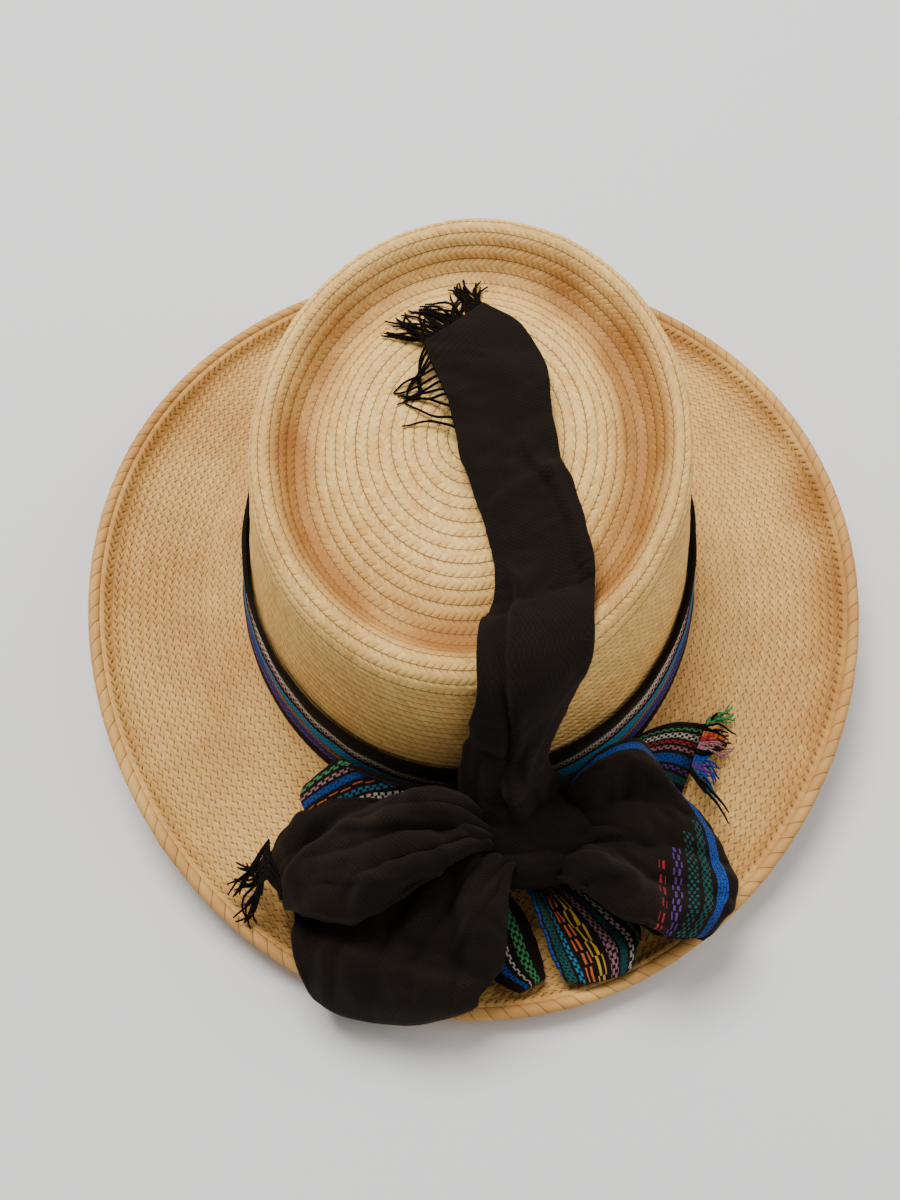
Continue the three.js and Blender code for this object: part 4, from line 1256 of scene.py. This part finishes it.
# gone is a share of the tail's length, side of the lip's half width, half of the sash's width, puff,
# left and right of the tail's puff: in its middle and at its edges
crownTailRows = table(
    "gone side half puff left right",
    (-0.15, 0.2, 0.16, 1.2, 0, 0),
    (-0.1, 0.2, 0.21, 3.8, 0, 0),
    (-0.03, 0.16, 0.2, 4.2, 0, 0),
    (0.05, 0.12, 0.165, 2.8, 0, 0),
    (0.14, 0.15, 0.175, 1.6, 0.4, 0),
    (0.24, 0.2, 0.2, 1, 0.6, 0),
    (0.34, 0.24, 0.21, 1, 1, 0.1),
    (0.43, 0.28, 0.18, 0.9, 0.4, 0.6),
    (0.53, 0.24, 0.17, 0.7, 0, 0.3),
    (0.66, 0.15, 0.18, 0.5, 0, 0),
    (0.8, 0.1, 0.2, 0.4, 0.1, 0.3),
    (0.9, 0.02, 0.19, 0.3, 0, 0.2),
    (0.97, -0.1, 0.125, 0.2, 0, 0),
)
tailLaps = [
    {"start": (1, 8), "end": (-12, 86), "high": 4.6, "sink": 15, "edge": 1.1},
    {"start": (-13, 58), "end": (5, 12), "high": 3.6, "sink": 8},
    {"start": (9, -12), "end": (3, 30), "high": 2.6, "sink": 7},
    {"start": (12, 72), "end": (4, 136), "high": 2.6, "sink": 8, "edge": 1.2},
    {"start": (-12, 112), "end": (16, 124), "high": 1.8, "sink": 10},
]


def crownTopAt(x, y):
    # height of the crown's top over plan points
    turned = math.radians(hat["lipTurn"])
    dx, dy = x - crownCentre[0], y - (crownCentre[1] - hat["lipAhead"])
    across = (math.cos(turned) * dx + math.sin(turned) * dy) / lipHalf[0]
    along = (math.cos(turned) * dy - math.sin(turned) * dx) / lipHalf[1]
    reach = np.hypot(across, along)
    drop = np.interp(reach, [r["reach"] for r in topProfile], [r["drop"] for r in topProfile])
    return crestHeight - drop * hat["crease"] + hat["lipTilt"] * along


def crownSections(x):
    # for each x, the line up the crown's front and over its top: y and z, points by columns
    onFront = profile[::-1][: len(wallProfile) + 4]
    angles = np.full((len(onFront), len(x)), -math.pi / 2)
    for _ in range(8):
        rings = ovalRings(onFront, angles)
        angles = angles + (x[None] - rings[..., 0]) / onFront[:, 0, None]
    front = ovalRings(onFront, angles)
    lift = np.where(onFront[:, 4] < bandTop + 8, sash["band"] + sash["bandFold"], 0.6)
    front[..., 1] -= lift[:, None]
    start = front[-1, :, 1]
    far = crownCentre[1] - hat["lipAhead"] + tailShape["far"] * lipHalf[1]
    y = start[None] + (far - start)[None] * np.linspace(0.02, 1, 60)[:, None]
    z = crownTopAt(x[None] + 0 * y, y) + 0.6
    topY = np.concatenate([front[len(wallProfile):, :, 1], y])
    topZ = np.concatenate([front[len(wallProfile):, :, 2], z])
    spanned = topZ.copy()
    for i in range(1, len(topY) - 1):
        aY, aZ = topY[:i, None], topZ[:i, None]
        bY, bZ = topY[None, i + 1:], topZ[None, i + 1:]
        share = (topY[i] - aY) / np.maximum(bY - aY, 1e-6)
        spanned[i] = np.maximum(spanned[i], (aZ + (bZ - aZ) * share).max(axis=(0, 1)))
    topZ = topZ + (spanned - topZ) * (1 - tailShape["sag"])
    lineY = np.concatenate([front[: len(wallProfile), :, 1], topY])
    lineZ = np.concatenate([front[: len(wallProfile), :, 2], topZ])
    return lineY, lineZ


def makeCrownTail():
    # a strip carried up the crown's front and over its lip, bridging half of the crease
    plan = tailShape
    at = curveThrough(crownTailRows, np.linspace(0, 1, plan["steps"]))
    s = np.linspace(-1, 1, plan["columns"])[None]
    col = {key: value[:, None] for key, value in at.items()}
    across = col["half"] * sash["width"] * s
    along = col["gone"] * plan["length"] + plan["askew"] * s * smoothStep((col["gone"] - 0.75) / 0.25)
    x = col["side"] * lipHalf[0] + across * (1 + plan["wavy"] * ripple(along, 40 * s, 17, 121))
    xs = np.linspace(x.min() - 1, x.max() + 1, 40)
    lineY, lineZ = crownSections(xs)
    strides = np.hypot(np.diff(lineY, axis=0), np.diff(lineZ, axis=0))
    distance = np.concatenate([np.zeros((1, len(xs))), np.cumsum(strides, axis=0)])
    reach = np.linspace(0, plan["start"] + plan["length"] + plan["askew"] + 4, 420)
    y, z = (
        np.stack([np.interp(reach, distance[:, k], line[:, k]) for k in range(len(xs))], -1)
        for line in (lineY, lineZ)
    )
    for _ in range(10):   # the cloth rounds the lip softly
        y[1:-1] = (y[:-2] + y[2:] + 2 * y[1:-1]) / 4
        z[1:-1] = np.maximum(z[1:-1], (z[:-2] + z[2:] + 2 * z[1:-1]) / 4)
    slopeY, slopeZ = np.gradient(y, axis=0), np.gradient(z, axis=0)
    size = np.hypot(slopeY, slopeZ)
    fields = [y, z, -slopeZ / size, slopeY / size]
    row = (along + plan["start"]) / (reach[1] - reach[0])
    column = (x - xs[0]) / (xs[1] - xs[0])
    baseY, baseZ, outY, outZ = (between(field, row, column) for field in fields)
    ends = smoothStep((plan["length"] - along) / 40 + 0.15)
    edge = col["left"] * np.maximum(0, -s) ** 2 + col["right"] * np.maximum(0, s) ** 2
    above = hat["gap"] + sash["thick"] / 2 + plan["puff"] * (col["puff"] * (1 - s * s) + edge)
    folds = lapHeight(across, along, tailLaps)
    soft = 1.3 * (1 + ripple(across, along, 22, 131)) + 1.1 * (1 - np.abs(ripple(across, along, 11, 132)))
    ribs = np.abs(np.sin(math.pi * (1.7 * s + 0.3 * ripple(along, s, 30, 133))))
    gather = 2.4 * smoothStep((46 - along) / 50) * ribs
    above = above + (folds + soft + gather) * ends
    soften(above, 3)
    middle = np.stack([x, baseY + outY * above, baseZ + outZ * above], -1)
    piece = sheetPiece("crownTail", middle, across, along)
    dress(piece, "crown_tail", blackCotton)
    size, area = flatSize(middle)
    sheets["crownTail"] = {"piece": piece, "middle": middle, "size": size, "area": area, "held": "draped"}


# Knot

knotShape = {
    "size": (1.2, 1.5, 1.02),    # over the frame's box, so that the lobes' roots run into it
    "ahead": 2.5,
    "rings": 120,
    "sides": 140,
    "bights": 2.6,
    "folds": 0.2,
    "gatherCount": 3.5,
    "gathers": 0.14,
}


def makeKnot():
    # gathered cloth hanging in bights under the tail: from its top, rings of folds one round the
    # other, with gathers running down them
    plan = knotShape
    box = boxOf("sash_knot")
    centre, half = box["middle"], box["half"] * plan["size"]
    rings, sides = plan["rings"], plan["sides"]
    down = np.linspace(0.02, math.pi - 0.02, rings)[:, None]
    turn = np.arange(sides)[None] / sides * tau
    uneven = ripple(30 * np.cos(turn), 30 * np.sin(turn) + 20 * down, 22, 151)
    bight = down + 0.25 * np.sin(turn + 0.6) + 0.08 * uneven
    folds = plan["folds"] * np.abs(np.sin(plan["bights"] * bight)) ** 0.8
    ribs = np.abs(np.sin(plan["gatherCount"] * turn + 0.9 * down))
    gathers = plan["gathers"] * ribs * np.exp(-((down / 1.5) ** 2))
    swell = 0.86 + folds + gathers + 0.03 * ripple(40 * down, 30 * np.cos(turn), 12, 141)
    body = np.sin(down) ** 0.7
    x = centre[0] + half[0] * swell * body * np.cos(turn)
    y = centre[1] - plan["ahead"] + half[1] * (np.cos(down) - 0.06 * folds * np.sin(turn))
    z = centre[2] + half[2] * swell * body * np.sin(turn)
    points = np.stack([x, y, z], -1)[::-1]
    across = roundCorners(sides)[None] / sides * 110
    along = downCorners(np.arange(rings - 1))[:, None] / rings * 60
    uv = np.stack(np.broadcast_arrays(across, along), -1)
    piece = meshPiece("sashKnot", points * mm, gridQuads(rings, sides, True).tolist(), uv)
    closeHoles(piece)
    dress(piece, "sash_knot", blackCotton)


# Fringes

def endRoots(middle, count, draw):
    # places along a cloth's last row, and the way the cloth runs out there
    place = (np.arange(count) + 0.5 + draw.uniform(-0.3, 0.3, count)) / count * (middle.shape[1] - 1)
    index = np.clip(place.astype(int), 0, middle.shape[1] - 2)
    part = (place - index)[:, None]
    last, before = middle[-1], middle[-4]
    root = last[index] * (1 - part) + last[index + 1] * part
    away = root - (before[index] * (1 - part) + before[index + 1] * part)
    return root, away, 2 * place / (middle.shape[1] - 1) - 1


def sideRoots(middle, shares):
    # places down a cloth's left edge, as shares of its rows, with the way out to that side
    index = (np.array(shares) * (len(middle) - 1)).astype(int)
    root = middle[index, 0]
    return root, root - middle[index, 3], np.zeros(len(shares))


def makeFringe(name, node, material, middle, plan, heightAt):
    # threads from the cloth's end: each bends its own way and lies on what is under it
    draw = np.random.default_rng(plan["seed"])
    root, away, place = endRoots(middle, plan["threads"], draw)
    if plan.get("sideShares"):
        more = sideRoots(middle, plan["sideShares"])
        root, away, place = (np.concatenate(pair) for pair in zip((root, away, place), more))
    count, knots, sides = len(root), 14, 6
    heading = np.arctan2(away[:, 1], away[:, 0]) + math.radians(plan.get("veer", 0))
    spread = np.radians(plan["swing"]) * place
    lock = np.arange(count) // 4   # neighbours hang together in locks
    heading = heading + spread + draw.normal(0, 0.3, count)[lock] + draw.normal(0, 0.09, count)
    length = plan["length"] * draw.uniform(0.7, 1.2, count)[lock] * draw.uniform(0.85, 1.05, count)
    length[: plan.get("loose", 0)] *= 1.7
    curl = draw.normal(0, plan.get("curl", 0.8), count)[lock] + draw.normal(0, 0.2, count)
    t = np.linspace(0, 1, knots)[None]
    waver = 0.25 * np.sin(5 * t + draw.uniform(0, 6, count)[:, None])
    bend = heading[:, None] + curl[:, None] * t**1.5 + waver
    step = length[:, None] / (knots - 1)
    x, y = (
        root[:, k, None] + np.cumsum(run(bend) * step, axis=1) - run(bend[:, :1]) * step * 1.5
        for k, run in enumerate((np.cos, np.sin))
    )
    floor = heightAt(x, y) + plan["radius"] + 0.2
    lift = plan.get("raised", 2.0) * draw.uniform(0, 1, count)[:, None]
    raised = lift * np.sin(math.pi * np.clip(t * 1.2, 0, 1))
    fallen = smoothStep(t * 2.2)
    z = np.maximum(floor, root[:, 2:] * (1 - fallen) + (floor + raised) * fallen)
    line = np.stack([x, y, z], -1)
    along = np.gradient(line, axis=1)
    along /= np.linalg.norm(along, axis=-1, keepdims=True)
    across = np.cross(along, [0, 0, 1])
    across /= np.maximum(np.linalg.norm(across, axis=-1, keepdims=True), 1e-9)
    up = np.cross(across, along)
    turn = np.arange(sides) / sides * tau
    radius = plan["radius"] * (1 - 0.45 * t**3)[..., None, None]
    ring = line[:, :, None] + radius * (
        np.cos(turn)[:, None] * across[:, :, None] + np.sin(turn)[:, None] * up[:, :, None]
    )
    starts = np.arange(count) * knots * sides
    quads = np.concatenate([gridQuads(knots, sides, True, start) for start in starts])
    caps = []
    for start in starts.tolist():
        first, last = range(start, start + sides), range(start + (knots - 1) * sides, start + knots * sides)
        caps += [list(first), list(last)[::-1]]
    share = np.repeat((np.arange(count) + 0.5) / count, (knots - 1) * sides)
    rows = np.tile(np.repeat(np.arange(knots - 1), sides), count)
    lengths = np.repeat(length, (knots - 1) * sides) / (knots - 1)
    v = downCorners(rows) * lengths[:, None]
    uv = np.stack([np.broadcast_to(share[:, None], v.shape), v], -1).reshape(-1, 2)
    uv = np.concatenate([uv, np.zeros((len(caps) * sides, 2))])
    turns = np.tile(np.arange(sides) / sides, count * knots)
    piece = meshPiece(name, ring * mm, quads.tolist() + caps, uv, {"turn": turns})
    closeHoles(piece)
    return dress(piece, node, material)


makeBand()
makeCrownTail()
makeKnot()
print("band, tail and knot made")


def onCover(x, y):
    # past the brim's edge a thread keeps the edge's height
    return sample(softCover(7), x, y)


def onTop(x, y):
    return crownTopAt(x, y) + crownPlan["topRidge"]


crownFringe = {
    "seed": 3, "threads": 52, "length": 19, "swing": -34, "radius": 0.5, "curl": 0.5, "veer": 4,
    "sideShares": (0.8, 0.815, 0.83, 0.85, 0.862, 0.88, 0.9, 0.92, 0.94, 0.955, 0.97, 0.985),
}
leftFringe = {"seed": 4, "threads": 44, "length": 18, "swing": 34, "radius": 0.5, "curl": 1.0}
rightFringe = {
    "seed": 5, "threads": 64, "length": 14, "loose": 2, "swing": 26, "radius": 0.5, "curl": 0.6,
}
for name, node, slot, material, plan, heightAt in [
    ("crownTail", "crown_tail_fringe", "black_thread", blackThread, crownFringe, onTop),
    ("leftTail", "left_tail_fringe", "black_thread", blackThread, leftFringe, onCover),
    ("rightTail", "right_tail_fringe", "coloured_thread", mixedThread, rightFringe, onCover),
]:
    middle = sheets[name]["middle"]
    makeFringe(name + "Fringe", node, material, middle, plan, heightAt)
print("fringes made, sheets listed")


# Stage

stage = {"half": 3.0, "colour": (0.78, 0.775, 0.765, 1), "sky": (1, 0.985, 0.96, 1), "skyPower": 0.36}
lamps = table(
    "name place power size",
    ("key", (-0.45, 0.75, 1.7), 52, 1.0),
    ("fill", (1.2, 0.1, 1.3), 12, 1.4),
)


def makeStage():
    half = stage["half"]
    mesh = bpy.data.meshes.new("floor")
    corners = [(-half, -half, 0), (half, -half, 0), (half, half, 0), (-half, half, 0)]
    mesh.from_pydata(corners, [], [(0, 1, 2, 3)])
    material, _, shader = startMaterial("paleFloor", 0.9)
    shader.inputs["Base Color"].default_value = stage["colour"]
    mesh.materials.append(material)
    addObject("floor", mesh)
    world = bpy.data.worlds.new("studio")
    world.use_nodes = True
    background = world.node_tree.nodes["Background"].inputs
    background[0].default_value = stage["sky"]
    background[1].default_value = stage["skyPower"]
    bpy.context.scene.world = world
    for lamp in lamps:
        light = bpy.data.lights.new(lamp["name"], "AREA")
        light.energy, light.size = lamp["power"], lamp["size"]
        placed = addObject(lamp["name"], light)
        placed.location = lamp["place"]
        placed.rotation_euler = (-Vector(lamp["place"])).to_track_quat("-Z", "Y").to_euler()


view = {"aim": (-8.7, -25, 40), "distance": 433, "elevation": 61, "lens": 36, "sensor": 36}


def makeCamera():
    above = math.radians(view["elevation"])
    back = Vector((0, -math.cos(above), math.sin(above)))
    data = bpy.data.cameras.new("camera")
    data.sensor_fit = "VERTICAL"
    data.sensor_height = view["sensor"]
    data.lens = view["lens"]
    camera = addObject("camera", data)
    camera.location = Vector(view["aim"]) * mm + back * view["distance"] * mm
    camera.rotation_euler = (-back).to_track_quat("-Z", "Y").to_euler()
    bpy.context.scene.camera = camera


makeStage()
makeCamera()
bpy.context.view_layer.update()
